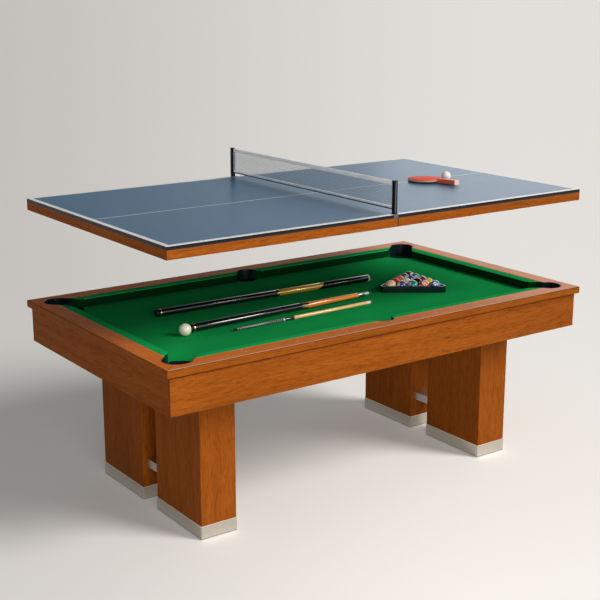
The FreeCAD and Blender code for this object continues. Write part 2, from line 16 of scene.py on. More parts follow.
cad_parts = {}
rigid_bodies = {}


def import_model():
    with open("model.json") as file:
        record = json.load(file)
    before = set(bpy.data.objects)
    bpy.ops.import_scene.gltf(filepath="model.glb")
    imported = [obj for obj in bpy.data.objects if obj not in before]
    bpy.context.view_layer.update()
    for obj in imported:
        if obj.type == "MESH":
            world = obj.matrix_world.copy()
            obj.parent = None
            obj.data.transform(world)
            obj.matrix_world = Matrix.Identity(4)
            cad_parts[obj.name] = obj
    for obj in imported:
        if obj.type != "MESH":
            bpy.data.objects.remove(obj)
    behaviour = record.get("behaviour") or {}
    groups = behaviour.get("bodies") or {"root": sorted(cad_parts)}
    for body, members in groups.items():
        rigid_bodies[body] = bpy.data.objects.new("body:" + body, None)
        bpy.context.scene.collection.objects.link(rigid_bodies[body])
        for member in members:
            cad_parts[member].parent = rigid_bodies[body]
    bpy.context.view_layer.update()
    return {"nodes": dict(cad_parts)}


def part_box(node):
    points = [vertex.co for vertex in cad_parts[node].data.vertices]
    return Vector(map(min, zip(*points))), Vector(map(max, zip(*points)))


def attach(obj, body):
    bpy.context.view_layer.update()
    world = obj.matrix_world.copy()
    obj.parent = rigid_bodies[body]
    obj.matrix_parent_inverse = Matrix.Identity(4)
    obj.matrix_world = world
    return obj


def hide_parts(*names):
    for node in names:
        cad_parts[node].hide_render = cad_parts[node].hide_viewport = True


bl_info = {
    "name": "Pool Table Finish",
    "version": (1, 0, 0),
    "blender": (4, 5, 0),
    "location": "3D View > Sidebar > Pool Table",
    "description": "Cloth, cushions, wood, balls, cues and net of a pool table with a tennis top",
    "category": "Object",
}

for leftover in list(bpy.data.objects):
    bpy.data.objects.remove(leftover)
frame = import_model()
NODES = frame["nodes"]


# ---- places read from the frame
def span(node, axis):
    """Low and high value of a node along one axis."""
    low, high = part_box(node)
    return low[axis], high[axis]


RAIL_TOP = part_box("rail_front")[1].z
HALF_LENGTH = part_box("rail_right")[1].x
HALF_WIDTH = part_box("rail_back")[1].y
WOOD_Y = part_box("cushion_back_left")[1].y
WOOD_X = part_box("cushion_right_end")[1].x
NOSE_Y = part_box("cushion_back_left")[0].y
NOSE_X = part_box("cushion_right_end")[0].x
CLOTH_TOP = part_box("bed_cloth")[1].z
BOARD_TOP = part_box("top_board_left")[1].z
BOARD_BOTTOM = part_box("top_board_left")[0].z
TOP_HALF_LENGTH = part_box("top_board_right")[1].x
TOP_HALF_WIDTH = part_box("top_board_right")[1].y
CORNER_POCKET = (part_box("pocket_back_right")[0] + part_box("pocket_back_right")[1]) / 2
CORNER_RADIUS = (span("pocket_back_right", 0)[1] - span("pocket_back_right", 0)[0]) / 2
SIDE_RADIUS = (span("pocket_back_middle", 0)[1] - span("pocket_back_middle", 0)[0]) / 2
SIDE_POCKET_Y = span("pocket_back_middle", 1)[1] - SIDE_RADIUS

# ---- values that several pieces share
WELD = 1e-5  # corners of the frame's loose triangles closer than this are one
LEVEL = 1e-4  # how far a corner may lie from a line or plane that it belongs to
VENEER_RELIEF = 0.00016
BLACK_LACQUER = (0.005, 0.005, 0.006, 1)
WHITE = (1.0, 1.0, 1.0, 1)
# Directions along the floor, seen from the camera.
TO_THE_RIGHT = (0.81, -0.58, 0.0)
INTO_THE_VIEW = (0.58, 0.81, 0.0)


# ---- what a user would change
class PoolTableSizes(bpy.types.PropertyGroup):
    """Sizes that the frame doesn't settle"""

    nose_corner: FloatProperty(
        name="Nose corner", description="Rounding in plan where a cushion turns into a pocket",
        default=0.034, unit="LENGTH")
    cushion_arris: FloatProperty(
        name="Cushion arris", description="Rounding of the cloth over the rubber's long edges",
        default=0.004, unit="LENGTH")
    cushion_crown: FloatProperty(
        name="Cushion crown", description="Rise of the cushion's cloth between rail and nose",
        default=0.0008, unit="LENGTH")
    nose_drop: FloatProperty(
        name="Nose drop", description="How far a cushion's nose lies below the rail",
        default=0.002, unit="LENGTH")
    cushion_undercut: FloatProperty(
        name="Cushion undercut", description="How far the cushion's foot stands back from its nose",
        default=0.004, unit="LENGTH")
    feather_width: FloatProperty(
        name="Feather strip width", description="Strip that holds the cloth in the rail's groove",
        default=0.0036, unit="LENGTH")
    cloth_roll: FloatProperty(
        name="Cloth roll", description="Rounding of the bed cloth over the pocket edges",
        default=0.0012, unit="LENGTH")
    shelf_reach: FloatProperty(
        name="Shelf reach", description="How far a pocket's lip reaches past the cushions' noses",
        default=0.02, unit="LENGTH")
    cheek: FloatProperty(
        name="Pocket cheek", description="Thickness of the plastic over a cushion's end",
        default=0.0035, unit="LENGTH")
    horn_share: FloatProperty(
        name="Horn share", description="Share of a cushion's depth that the pocket's horn covers",
        default=0.4, subtype="FACTOR")
    net_pitch: FloatProperty(
        name="Net pitch", description="Distance between the net's threads",
        default=0.006, unit="LENGTH")
    net_thread: FloatProperty(
        name="Net thread", description="Thickness of the net's threads", default=0.00085, unit="LENGTH")
    tape_height: FloatProperty(
        name="Tape height", description="Height of the white tape on the net", default=0.017, unit="LENGTH")
    cord_radius: FloatProperty(
        name="Cord radius", description="Radius of the cords along the net's bottom",
        default=0.0018, unit="LENGTH")
    border: FloatProperty(
        name="Border line", description="White line round the tennis boards", default=0.02, unit="LENGTH")
    centre_line: FloatProperty(
        name="Centre line", description="White line along the middle of the boards",
        default=0.0045, unit="LENGTH")
    number_spot: FloatProperty(
        name="Number spot", description="Radius of a ball's white number spot",
        default=0.0088, unit="LENGTH")
    wrap_turns: IntProperty(
        name="Wrap turns", description="Turns of cord round the thin cue's handle", default=21)
    seed: IntProperty(name="Seed", description="Sets how the balls are turned", default=7)


class PoolTableColours(bpy.types.PropertyGroup):
    """Main colours of the table and the floor"""

    wood: FloatVectorProperty(
        name="Wood", description="Main colour of the veneer", subtype="COLOR", size=4,
        default=(0.298, 0.076, 0.0072, 1))
    wood_dark: FloatVectorProperty(
        name="Dark grain", description="Colour of the veneer's pores", subtype="COLOR", size=4,
        default=(0.085, 0.019, 0.0025, 1))
    wood_light: FloatVectorProperty(
        name="Light grain", description="Colour of the veneer's pale bands", subtype="COLOR", size=4,
        default=(0.36, 0.1, 0.013, 1))
    # On the rails' inner edge this colour is partly a painted highlight; the feather strips take it as
    # their own colour.
    arris: FloatVectorProperty(
        name="Wood arris", description="Bare wood edge at cushions and pockets", subtype="COLOR", size=4,
        default=(0.85, 0.07, 0.02, 1))
    cloth: FloatVectorProperty(
        name="Cloth", description="Green of the playing cloth", subtype="COLOR", size=4,
        default=(0.007, 0.27, 0.062, 1))
    board: FloatVectorProperty(
        name="Board", description="Slate blue of the tennis boards", subtype="COLOR", size=4,
        default=(0.054, 0.138, 0.24, 1))
    line: FloatVectorProperty(
        name="Line", description="White of lines and tape", subtype="COLOR", size=4,
        default=(0.8, 0.8, 0.78, 1))
    floor: FloatVectorProperty(
        name="Floor", description="Floor under and behind the table", subtype="COLOR", size=4,
        default=(0.7, 0.68, 0.64, 1))
    floor_seen: FloatVectorProperty(
        name="Floor as seen", description="Paler tone that the camera and reflections see", subtype="COLOR",
        size=4, default=(0.95, 0.93, 0.9, 1))


class PoolTableStage(bpy.types.PropertyGroup):
    """Camera, lights and backdrop"""

    camera_place: FloatVectorProperty(
        name="Camera place", description="Where the camera stands", subtype="TRANSLATION", size=3,
        default=(-3.061, -4.2144, 2.1333))
    camera_azimuth: FloatProperty(
        name="Camera azimuth", description="Heading of the camera from +Y towards +X",
        default=math.radians(35.539), subtype="ANGLE")
    camera_elevation: FloatProperty(
        name="Camera elevation", description="How far the camera looks down",
        default=math.radians(14.693), subtype="ANGLE")
    lens: FloatProperty(name="Lens", description="Focal length in millimetres", default=72.6)
    sun_strength: FloatProperty(name="Sun strength", description="Key light", default=2.8)
    sun_azimuth: FloatProperty(
        name="Sun azimuth", description="Where the key light stands, from -Y towards +X",
        default=math.radians(37), subtype="ANGLE")
    sun_elevation: FloatProperty(
        name="Sun elevation", description="Height of the key light", default=math.radians(35),
        subtype="ANGLE")
    sun_softness: FloatProperty(
        name="Sun softness", description="Apparent size of the key light", default=math.radians(26),
        subtype="ANGLE")
    screen_power: FloatProperty(
        name="Screen power", description="Power of the low softbox behind the right end", default=48.0)
    screen_place: FloatVectorProperty(
        name="Screen place", description="Where the low softbox stands", subtype="TRANSLATION", size=3,
        default=(6.6, 3.9, 2.6))
    screen_size: FloatProperty(
        name="Screen size", description="Width of the low softbox", default=5.0, unit="LENGTH")
    fill_power: FloatProperty(
        name="Fill power", description="Power of the low fill in front", default=150.0)
    fill_place: FloatVectorProperty(
        name="Fill place", description="Where the low fill stands", subtype="TRANSLATION", size=3,
        default=(-2.5, -5.8, 1.6))
    fill_size: FloatProperty(
        name="Fill size", description="Width of the low fill", default=3.2, unit="LENGTH")
    room_light: FloatProperty(name="Room light", description="Even light from all round", default=0.215)
    backdrop: FloatProperty(
        name="Backdrop", description="Brightness of what lies behind the floor", default=0.8)


def sizes():
    return bpy.context.scene.pool_table_sizes


def colours():
    return bpy.context.scene.pool_table_colours


def stage_settings():
    return bpy.context.scene.pool_table_stage


# ---- node helpers
class Value:
    """A node's output. Sums of it with numbers or other outputs add Math nodes."""

    def __init__(self, socket):
        self.socket = socket

    def __add__(self, other):
        return maths("ADD", self, other)

    def __radd__(self, other):
        return maths("ADD", other, self)

    def __sub__(self, other):
        return maths("SUBTRACT", self, other)

    def __rsub__(self, other):
        return maths("SUBTRACT", other, self)

    def __mul__(self, other):
        return maths("MULTIPLY", self, other)

    def __truediv__(self, other):
        return maths("DIVIDE", self, other)

    def __abs__(self):
        return maths("ABSOLUTE", self)


def feed(socket, value):
    """Links an output to a socket, or sets a plain value on it."""
    if isinstance(value, Value):
        socket.id_data.links.new(value.socket, socket)
    else:
        socket.default_value = value


def outputs(node):
    """A node's outputs by name."""
    return {socket.name: Value(socket) for socket in node.outputs if socket.name}


def new_node(kind, values, **settings):
    """Adds a node to the tree that its values come from. A dict gives the inputs' names or places."""
    pairs = list(values.items() if isinstance(values, dict) else enumerate(values))
    tree = next(value.socket.id_data for _, value in pairs if isinstance(value, Value))
    node = tree.nodes.new(f"ShaderNode{kind}")
    for name, setting in settings.items():
        setattr(node, name, setting)
    for key, value in pairs:
        feed(node.inputs[key], value)
    return node


def maths(operation, *values, clamp=False):
    """Result of a Math node."""
    return Value(new_node("Math", values, operation=operation, use_clamp=clamp).outputs[0])


def vector_maths(operation, *values):
    """Result of a Vector Math node."""
    node = new_node("VectorMath", values, operation=operation)
    return Value(node.outputs["Value" if operation in ("LENGTH", "DOT_PRODUCT") else "Vector"])


def scaled(colour, amount):
    """A colour or a vector times a number."""
    vector = colour if isinstance(colour, Value) else tuple(colour)[:3]
    return Value(new_node("VectorMath", {0: vector, "Scale": amount}, operation="SCALE").outputs["Vector"])


def mix(factor, first, second):
    """Mixes two colours."""
    first_colour, second_colour, result = 6, 7, 2
    values = {"Factor": factor, first_colour: first, second_colour: second}
    return Value(new_node("Mix", values, data_type="RGBA").outputs[result])


def remap(value, low, high, to_low=0.0, to_high=1.0):
    """Smooth step of a value from one range to another."""
    values = (value, low, high, to_low, to_high)
    return Value(new_node("MapRange", values, interpolation_type="SMOOTHSTEP").outputs["Result"])


def noise(vector, scale, detail=2.0, roughness=0.5, distortion=0.0):
    """Noise at one scale, or drawn out by three."""
    if isinstance(scale, tuple):
        vector, scale = vector_maths("MULTIPLY", vector, scale), 1.0
    values = {"Vector": vector, "Scale": scale, "Detail": detail, "Roughness": roughness,
              "Distortion": distortion}
    return Value(new_node("TexNoise", values).outputs["Fac"])


def separate(vector):
    """X, Y and Z of a vector."""
    return [Value(part) for part in new_node("SeparateXYZ", (vector,)).outputs]


def mapped(vector, place=(0, 0, 0), turn=(0, 0, 0)):
    """Mapping node that centres and turns a pattern on a piece."""
    values = {"Vector": vector, "Location": place, "Rotation": turn}
    return Value(new_node("Mapping", values, vector_type="TEXTURE").outputs["Vector"])


def mapped_by(vector, matrix):
    """Vector in the frame of a piece that a matrix put in place."""
    return mapped(vector, matrix.to_translation(), matrix.to_euler())


# ---- shader node groups
def new_group(name, inputs, results):
    """Node group with named sockets: its inputs as values, and the sockets of its output node."""
    tree = bpy.data.node_groups.new(name, "ShaderNodeTree")
    for label, default in inputs.items():
        kind = {float: "Float", tuple: "Color"}.get(type(default), "Vector")
        socket = tree.interface.new_socket(label, in_out="INPUT", socket_type=f"NodeSocket{kind}")
        if default is not None:
            socket.default_value = default
    for label in results:
        kind = "Color" if label == "Color" else "Float"
        tree.interface.new_socket(label, in_out="OUTPUT", socket_type=f"NodeSocket{kind}")
    entry = tree.nodes.new("NodeGroupInput")
    return outputs(entry), tree.nodes.new("NodeGroupOutput").inputs


def wood_group():
    """Veneer whose grain runs along the X of the vector it is given."""
    given, out = new_group(
        "Veneer Grain",
        {"Vector": None, "Main": (0.4, 0.1, 0.02, 1), "Dark": (0.1, 0.03, 0.01, 1),
         "Light": (0.5, 0.2, 0.03, 1), "Figure": 1.0},
        ("Color", "Roughness", "Height"))
    vector = given["Vector"]
    bend = noise(vector, (2.2, 5.0, 5.0), 2.0)
    push = scaled((0.0, 1.0, 1.0), (bend - 0.5) * 0.05)
    bent = vector_maths("ADD", vector, push)
    bands = noise(bent, (1.1, 30.0, 30.0), 3.0, 0.55)
    streaks = noise(bent, (9.0, 300.0, 300.0), 3.0, 0.6)
    flecks = noise(bent, (24.0, 260.0, 260.0), 3.0, 0.65)
    pores = noise(bent, (60.0, 1300.0, 1300.0), 2.0, 0.6)
    patches = noise(vector, (1.6, 3.5, 3.5), 2.0)
    pale = remap(bands, 0.42, 0.68, 0.0, 0.45)
    colour = mix(pale * given["Figure"], given["Main"], given["Light"])
    deep = remap(bands, 0.5, 0.28, 0.0, 0.2)
    colour = mix(deep * given["Figure"], colour, given["Dark"])
    fine = remap(streaks, 0.46, 0.7, 0.0, 0.5)
    colour = mix(fine, colour, given["Dark"])
    dash = remap(flecks, 0.5, 0.68, 0.0, 0.48)
    colour = mix(dash * given["Figure"], colour, given["Dark"])
    pit = remap(pores, 0.56, 0.7, 0.0, 0.45)
    colour = mix(pit, colour, given["Dark"])
    feed(out["Color"], scaled(colour, remap(patches, 0.3, 0.7, 0.94, 1.05)))
    feed(out["Roughness"], 0.36 + streaks * 0.16)
    feed(out["Height"], 1.0 - (pit * 1.6 + dash * 0.5))
    return out[0].id_data


def baize_group():
    """Napped cloth: fine fibres, a faint weave and soft patches where the nap lies one way."""
    given, out = new_group("Baize Nap", {"Vector": None, "Color": (0.0, 0.2, 0.05, 1)}, ("Color", "Height"))
    vector = given["Vector"]
    fibres = noise(vector, (700.0, 1500.0, 1100.0), 3.0, 0.7)
    clumps = noise(vector, 130.0, 3.0, 0.6)
    brushed = noise(vector, (2.0, 5.0, 5.0), 3.0, 0.5)
    light = remap(fibres, 0.25, 0.75, 0.8, 1.18) + remap(clumps, 0.3, 0.7, -0.07, 0.07)
    light = light * remap(brushed, 0.3, 0.7, 0.93, 1.06)
    feed(out["Color"], scaled(given["Color"], light))
    feed(out["Height"], fibres + clumps * 0.6)
    return out[0].id_data


def brushed_group():
    """Brushed metal whose lines run along the X of the vector it is given."""
    given, out = new_group(
        "Brushed Lines", {"Vector": None, "Color": (0.6, 0.6, 0.6, 1)}, ("Color", "Roughness", "Height"))
    lines = noise(given["Vector"], (5.0, 1600.0, 1600.0), 3.0, 0.7)
    bands = noise(given["Vector"], (2.0, 160.0, 160.0), 2.0)
    cloudy = noise(given["Vector"], 9.0, 3.0)
    shade = remap(lines, 0.3, 0.7, 0.86, 1.08) + remap(bands, 0.3, 0.7, -0.06, 0.06)
    feed(out["Color"], scaled(given["Color"], shade))
    feed(out["Roughness"], remap(lines, 0.3, 0.7, 0.26, 0.42) + remap(cloudy, 0.35, 0.7, 0.0, 0.08))
    feed(out["Height"], lines)
    return out[0].id_data


def handling_group():
    """Faint smudges, hairlines and orange peel of a smooth finish that has been handled."""
    given, out = new_group(
        "Handling Marks", {"Vector": None, "Roughness": 0.3, "Marks": 1.0},
        ("Roughness", "Shade", "Height"))
    vector = given["Vector"]
    smudges = noise(vector, 14.0, 5.0, 0.65, 0.4)
    peel = noise(vector, 420.0, 2.0)
    hairs = noise(vector, (40.0, 2200.0, 900.0), 2.0)
    hair = remap(hairs, 0.66, 0.74, 0.0, 0.12)
    blur = remap(smudges, 0.45, 0.75, 0.0, 0.13) * given["Marks"] + hair * given["Marks"]
    feed(out["Roughness"], maths("ADD", given["Roughness"], blur, clamp=True))
    feed(out["Shade"], remap(smudges, 0.3, 0.75, 0.95, 1.04))
    feed(out["Height"], peel - hair)
    return out[0].id_data


def band_group():
    """1 where a value lies between two others, with soft sides."""
    given, out = new_group("Band", {"Value": 0.0, "Low": 0.0, "High": 1.0, "Soft": 0.0002}, ("Mask",))
    rise = remap(given["Value"], given["Low"] - given["Soft"], given["Low"])
    fall = remap(given["Value"], given["High"] + given["Soft"], given["High"])
    feed(out["Mask"], rise * fall)
    return out[0].id_data


GROUP_MAKERS = {
    "Veneer Grain": wood_group,
    "Baize Nap": baize_group,
    "Brushed Lines": brushed_group,
    "Handling Marks": handling_group,
    "Band": band_group,
}
GROUPS = {}


def use_group(name, **values):
    """Places a shared node group, building it the first time, and returns its outputs by name."""
    if name not in GROUPS:
        GROUPS[name] = GROUP_MAKERS[name]()
    return outputs(new_node("Group", values, node_tree=GROUPS[name]))


def band(value, low, high, soft=0.0002):
    """Mask of where a value lies between two others."""
    return use_group("Band", Value=value, Low=low, High=high, Soft=soft)["Mask"]


# ---- materials
class Finish:
    """A new material with its Principled shader and Object coordinates at hand."""

    def __init__(self, name, **constants):
        self.material = bpy.data.materials.new(name)
        self.material.use_nodes = True
        tree = self.material.node_tree
        self.shader = tree.nodes["Principled BSDF"]
        self.coords = Value(tree.nodes.new("ShaderNodeTexCoord").outputs["Object"])
        for label, value in constants.items():
            self.give(label.replace("_", " "), value)

    def give(self, label, value):
        feed(self.shader.inputs[label], value)

    def marks(self, roughness, amount=1.0):
        """Roughness, Shade and Height of a finish that has been handled."""
        return use_group("Handling Marks", Vector=self.coords, Roughness=roughness, Marks=amount)

    def surface(self, colour, roughness, height, depth, strength=0.5):
        """Gives the finish its colour, roughness and bump, and returns the material."""
        bump = new_node("Bump", {"Height": height, "Distance": depth, "Strength": strength})
        self.give("Base Color", colour)
        self.give("Roughness", roughness)
        self.give("Normal", Value(bump.outputs["Normal"]))
        return self.material


# Turns that lay a grain drawn along X along another axis.
ALONG = {
    "x": (0.0, 0.0, 0.0),
    "y": (0.0, 0.0, math.radians(90)),
    "z": (0.0, math.radians(-90), 0.0),
}


def veneer(name, along, shift, lines=(), figure=1.0, rail=False):
    """Lacquered veneer with (axis, low, high, colour, amount) stripes of painted highlight and painted
    shade. A rail has a glossy top, painted brighter as a sheen.
    """
    look = Finish(name, Coat_Roughness=0.3, Specular_IOR_Level=0.03)
    grain = use_group("Veneer Grain", Vector=mapped(look.coords, shift, ALONG[along]), Main=colours().wood,
                      Dark=colours().wood_dark, Light=colours().wood_light, Figure=figure)
    colour = grain["Color"]
    along_table = separate(look.coords)[0]
    x, y, z = (abs(part) for part in separate(look.coords))
    place = {"x": x, "y": y, "z": z, "towards x": along_table}
    on_top = maths("GREATER_THAN", z, RAIL_TOP - 0.0006)
    if rail:
        # Painted sheen: a rail's top is painted brighter and warmer, and towards +X paler still as a
        # painted glare.
        painted_top_sheen = vector_maths("MULTIPLY_ADD", colour, (2.05, 1.95, 1.7), (0.045, 0.02, 0.007))
        painted_glare_share = remap(along_table, 0.3, HALF_LENGTH, 0.0, 0.2)
        colour = mix(on_top, colour, mix(painted_glare_share, painted_top_sheen, (0.95, 0.74, 0.6, 1)))
        # The inner edge is painted in the arris colour: partly bare wood, partly a painted highlight where
        # the rounded edge catches light.
        colour = mix(wood_arris(x, y, z) * 0.95, colour, colours().arris)
    for axis, low, high, shade, amount in lines:
        mask = band(place[axis], low, high, 0.0006) * amount
        if rail and axis != "z":
            mask = mask * on_top
        colour = mix(mask, colour, shade)
    if rail:
        mitre = HALF_LENGTH - x - (HALF_WIDTH - y)
        colour = mix(band(mitre, -0.0009, 0.0009, 0.0005), colour, (0.06, 0.018, 0.006, 1))
        look.give("Coat Weight", on_top * 0.12)
    return look.surface(colour, grain["Roughness"], grain["Height"], VENEER_RELIEF)


def wood_arris(x, y, z):
    """Mask of the rails' inner edge, along the cushions and round the pockets."""
    width, soft = 0.0028, 0.0004
    end = band(x, WOOD_X - width, WOOD_X + width, soft)
    edge = maths("MAXIMUM", end, band(y, WOOD_Y - width, WOOD_Y + width, soft))
    pockets = ((CORNER_POCKET.x, CORNER_POCKET.y, CORNER_RADIUS), (0.0, SIDE_POCKET_Y, SIDE_RADIUS))
    for middle_x, middle_y, radius in pockets:
        dx, dy = x - middle_x, y - middle_y
        ring = maths("SQRT", dx * dx + dy * dy)
        edge = maths("MAXIMUM", edge, band(ring, radius - width, radius + width, soft))
    return edge * maths("GREATER_THAN", z, RAIL_TOP - 0.004)


def top_frame_finish(side):
    """Frame bars of one half: grain along X, and along Y on the end bar past the mitres."""
    look = Finish(f"top_frame_veneer_{side}", Specular_IOR_Level=0.03)
    picks = dict(Main=colours().wood, Dark=colours().wood_dark, Light=colours().wood_light, Figure=0.8)
    shift = (0.3, 0.1, 0.2) if side == "left" else (1.9, 0.4, 0.7)
    long_bars = use_group("Veneer Grain", Vector=mapped(look.coords, shift, ALONG["x"]), **picks)
    end_bars = use_group("Veneer Grain", Vector=mapped(look.coords, shift, ALONG["y"]), **picks)
    x, y, _ = (abs(part) for part in separate(look.coords))
    mitre = x - TOP_HALF_LENGTH - (y - TOP_HALF_WIDTH)
    colour = mix(maths("GREATER_THAN", mitre, 0.0), long_bars["Color"], end_bars["Color"])
    joint = band(mitre, -0.0008, 0.0008, 0.0005)
    seam = band(x, -0.01, 0.0016, 0.0008)
    colour = mix(maths("MAXIMUM", joint, seam), colour, (0.05, 0.014, 0.005, 1))
    return look.surface(colour, long_bars["Roughness"], long_bars["Height"], VENEER_RELIEF)


def timber(name, colour, dark, light, along="x"):
    """Plain sawn timber for what isn't seen from above."""
    look = Finish(name)
    grain = use_group("Veneer Grain", Vector=mapped(look.coords, (0.7, 0.3, 0.1), ALONG[along]),
                      Main=colour, Dark=dark, Light=light, Figure=0.7)
    return look.surface(grain["Color"], grain["Roughness"] + 0.28, grain["Height"], 0.0003, 0.6)


def board_stuff(name, colour):
    """Pressed board: a plain tone with fine chips."""
    look = Finish(name)
    chips = noise(look.coords, 260.0, 4.0, 0.7)
    patch = noise(look.coords, 12.0, 2.0)
    shade = remap(chips, 0.3, 0.7, 0.78, 1.12) + remap(patch, 0.3, 0.7, -0.05, 0.05)
    return look.surface(scaled(colour, shade), remap(chips, 0.3, 0.7, 0.62, 0.8), chips, 0.0003)


def baize(name, colour, fold=0.0):
    """Green cloth with a nap; cloth folded over rubber has a coarser height, with painted shade on its
    upright sides, a painted brighter top and a painted highlight along its nose.
    """
    look = Finish(name, Sheen_Weight=0.04, Sheen_Roughness=0.5, Sheen_Tint=(0.1, 0.9, 0.4, 1),
                  Specular_IOR_Level=0.0)
    nap = use_group("Baize Nap", Vector=look.coords, Color=colour)
    shade = nap["Color"]
    if fold:
        brushed = look.material.node_tree.nodes.new("ShaderNodeAttribute")
        brushed.attribute_name = "brushed"
        upright = outputs(brushed)["Fac"]
        # Painted shade and light: the upright faces are painted darker and the top brighter by how far a
        # corner faces up, and a painted highlight runs along the rounded nose.
        painted_shading_by_facing = scaled(shade, remap(upright, 0.1, 0.9, 0.15, 1.3))
        shade = mix(band(upright, 0.3, 0.93, 0.05), painted_shading_by_facing, (0.04, 0.55, 0.19, 1))
    rough = remap(nap["Height"], 0.3, 1.3, 0.86, 0.98)
    return look.surface(shade, rough, nap["Height"], 0.0003 + fold, 0.45)


def smooth_finish(name, colour, roughness, marks=1.0, bump=0.00003, **constants):
    """Smooth moulded, turned or lacquered finish with faint marks of handling."""
    look = Finish(name, **constants)
    marked = look.marks(roughness, marks)
    return look.surface(scaled(colour, marked["Shade"]), marked["Roughness"], marked["Height"], bump, 0.4)


def brushed_metal(name, colour, along, edges):
    """Brushed nickel; edges are (low, high, colour) levels of painted highlight and painted shadow along
    its edges.
    """
    look = Finish(name, Metallic=1.0)
    metal = use_group("Brushed Lines", Vector=mapped(look.coords, turn=ALONG[along]), Color=colour)
    shade = metal["Color"]
    height = abs(separate(look.coords)[2])
    for low, high, line in edges:
        shade = mix(band(height, low, high, 0.0004), shade, line)
    return look.surface(shade, metal["Roughness"], metal["Height"], 0.00005)


# ---- mesh helpers
def new_object(name, data):
    """New object in the scene, at the origin."""
    made = bpy.data.objects.new(name, data)
    bpy.context.scene.collection.objects.link(made)
    return made


def finish_mesh(name, bm, material, body, smooth=True, sharp=None, matrix=None):
    """Makes a piece with its materials and body. sharp is in degrees. A matrix puts it in place."""
    if matrix is not None:
        bmesh.ops.recalc_face_normals(bm, faces=bm.faces)
        bmesh.ops.transform(bm, matrix=matrix, verts=bm.verts)
    mesh = bpy.data.meshes.new(name)
    bm.to_mesh(mesh)
    bm.free()
    piece = new_object(name, mesh)
    for each in material if isinstance(material, (list, tuple)) else [material]:
        mesh.materials.append(each)
    mesh.polygons.foreach_set("use_smooth", [smooth] * len(mesh.polygons))
    if sharp is not None:
        mesh.set_sharp_from_angle(angle=math.radians(sharp))
    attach(piece, body)
    return piece


def join_flat(bm, dist=WELD):
    """Joins loose triangles and makes flat faces whole."""
    bmesh.ops.remove_doubles(bm, verts=bm.verts, dist=dist)
    bmesh.ops.dissolve_limit(bm, angle_limit=math.radians(0.5), verts=bm.verts, edges=bm.edges)


def extruded(bm, faces):
    """Extrudes faces in place and returns the new vertices, to be moved."""
    grown = bmesh.ops.extrude_face_region(bm, geom=list(faces))["geom"]
    return [part for part in grown if isinstance(part, bmesh.types.BMVert)]


def cut(bm, place, facing):
    """Cuts every face along a plane."""
    bmesh.ops.bisect_plane(bm, geom=bm.verts[:] + bm.edges[:] + bm.faces[:], dist=1e-6, plane_co=place,
                           plane_no=facing)


def family(start):
    """Names of the nodes that start with a word, in order."""
    return sorted(name for name in NODES if name.startswith(start))


def merged_copy(node):
    """Bmesh of a CAD node with its loose triangles joined and flat faces made whole."""
    bm = bmesh.new()
    bm.from_mesh(NODES[node].data)
    join_flat(bm)
    return bm


def bevel(bm, edges, offset, segments):
    """Rounds edges."""
    bmesh.ops.bevel(bm, geom=list(edges), offset=offset, offset_type="OFFSET", affect="EDGES",
                    segments=segments, profile=0.5, material=-1, clamp_overlap=True)


def repaint(material, *nodes):
    """Gives CAD nodes a finish of their own."""
    for node in nodes:
        slots = NODES[node].data.materials
        slots.clear()
        slots.append(material)


def turned_part(name, profile, matrix, material, body, steps=56):
    """Turned piece: a profile of (distance along, radius), spun about X and put in place."""
    bm = bmesh.new()
    points = [bm.verts.new((along, radius, 0.0)) for along, radius in profile]
    edges = [bm.edges.new(pair) for pair in zip(points, points[1:])]
    bmesh.ops.spin(bm, geom=points + edges, cent=(0, 0, 0), axis=(1, 0, 0), angle=math.tau,
                   steps=steps, use_merge=True, use_normal_flip=False)
    bmesh.ops.remove_doubles(bm, verts=bm.verts, dist=1e-6)
    return finish_mesh(name, bm, material, body, sharp=35, matrix=matrix)


def rod_profile(start, first, end, last, rim):
    """Closed profile of a rod with small rounded rims at both ends."""
    slope = rim * 0.3
    return [(start, 0.0), (start, first - rim), (start + slope, first - slope), (start + rim, first),
            (end - rim, last), (end - slope, last - slope), (end, last - rim), (end, 0.0)]


# ---- cushions
# Each side of the table: the direction along it, inwards, and how far out its cushions start.
SIDE_FRAMES = {
    "front": (Vector((1, 0, 0)), Vector((0, 1, 0)), WOOD_Y),
    "back": (Vector((-1, 0, 0)), Vector((0, -1, 0)), WOOD_Y),
    "left": (Vector((0, -1, 0)), Vector((1, 0, 0)), WOOD_X),
    "right": (Vector((0, 1, 0)), Vector((-1, 0, 0)), WOOD_X),
}


def cushion_side(node):
    """Matrix that takes (along, depth, height) on a cushion's side to the table."""
    along, inwards, reach = SIDE_FRAMES[node.split("_")[1]]
    matrix = Matrix((along, inwards, Vector((0, 0, 1)))).transposed().to_4x4()
    matrix.translation = -inwards * reach
    return matrix


def cushion_ends(node, matrix):
    """Depth of a cushion, and its two ends at the wood and at the nose."""
    points = [matrix.inverted() @ v.co for v in NODES[node].data.vertices]
    depth = max(p.y for p in points)
    ends = {}
    for side, where in (("wood", 0.0), ("nose", depth)):
        level = [p.x for p in points if abs(p.y - where) < LEVEL]
        ends[side] = (min(level), max(level))
    return depth, ends


def cushion_section(depth, start):
    """The cushion's section from the feather strip round to its heel."""
    foot = CLOTH_TOP + 0.0003
    nose = RAIL_TOP - sizes().nose_drop
    toe = depth - sizes().cushion_undercut
    return [(start, RAIL_TOP - 0.0004), (depth, nose), (toe, foot), (start, foot)]


def plan_end(depth, total, wood, nose, inward):
    """Where a cushion ends at a depth: a straight facing, then an arc into the nose line."""
    radius = sizes().nose_corner
    run = nose - wood
    turn = math.atan2(total, abs(run))
    reach = radius * math.tan(turn / 2)
    arc_from = total - reach * total / math.hypot(run, total)
    if depth <= arc_from:
        return wood + run * depth / total
    rise = min(depth - (total - radius), radius)
    return nose + inward * (reach - math.sqrt(max(radius**2 - rise**2, 0.0)))


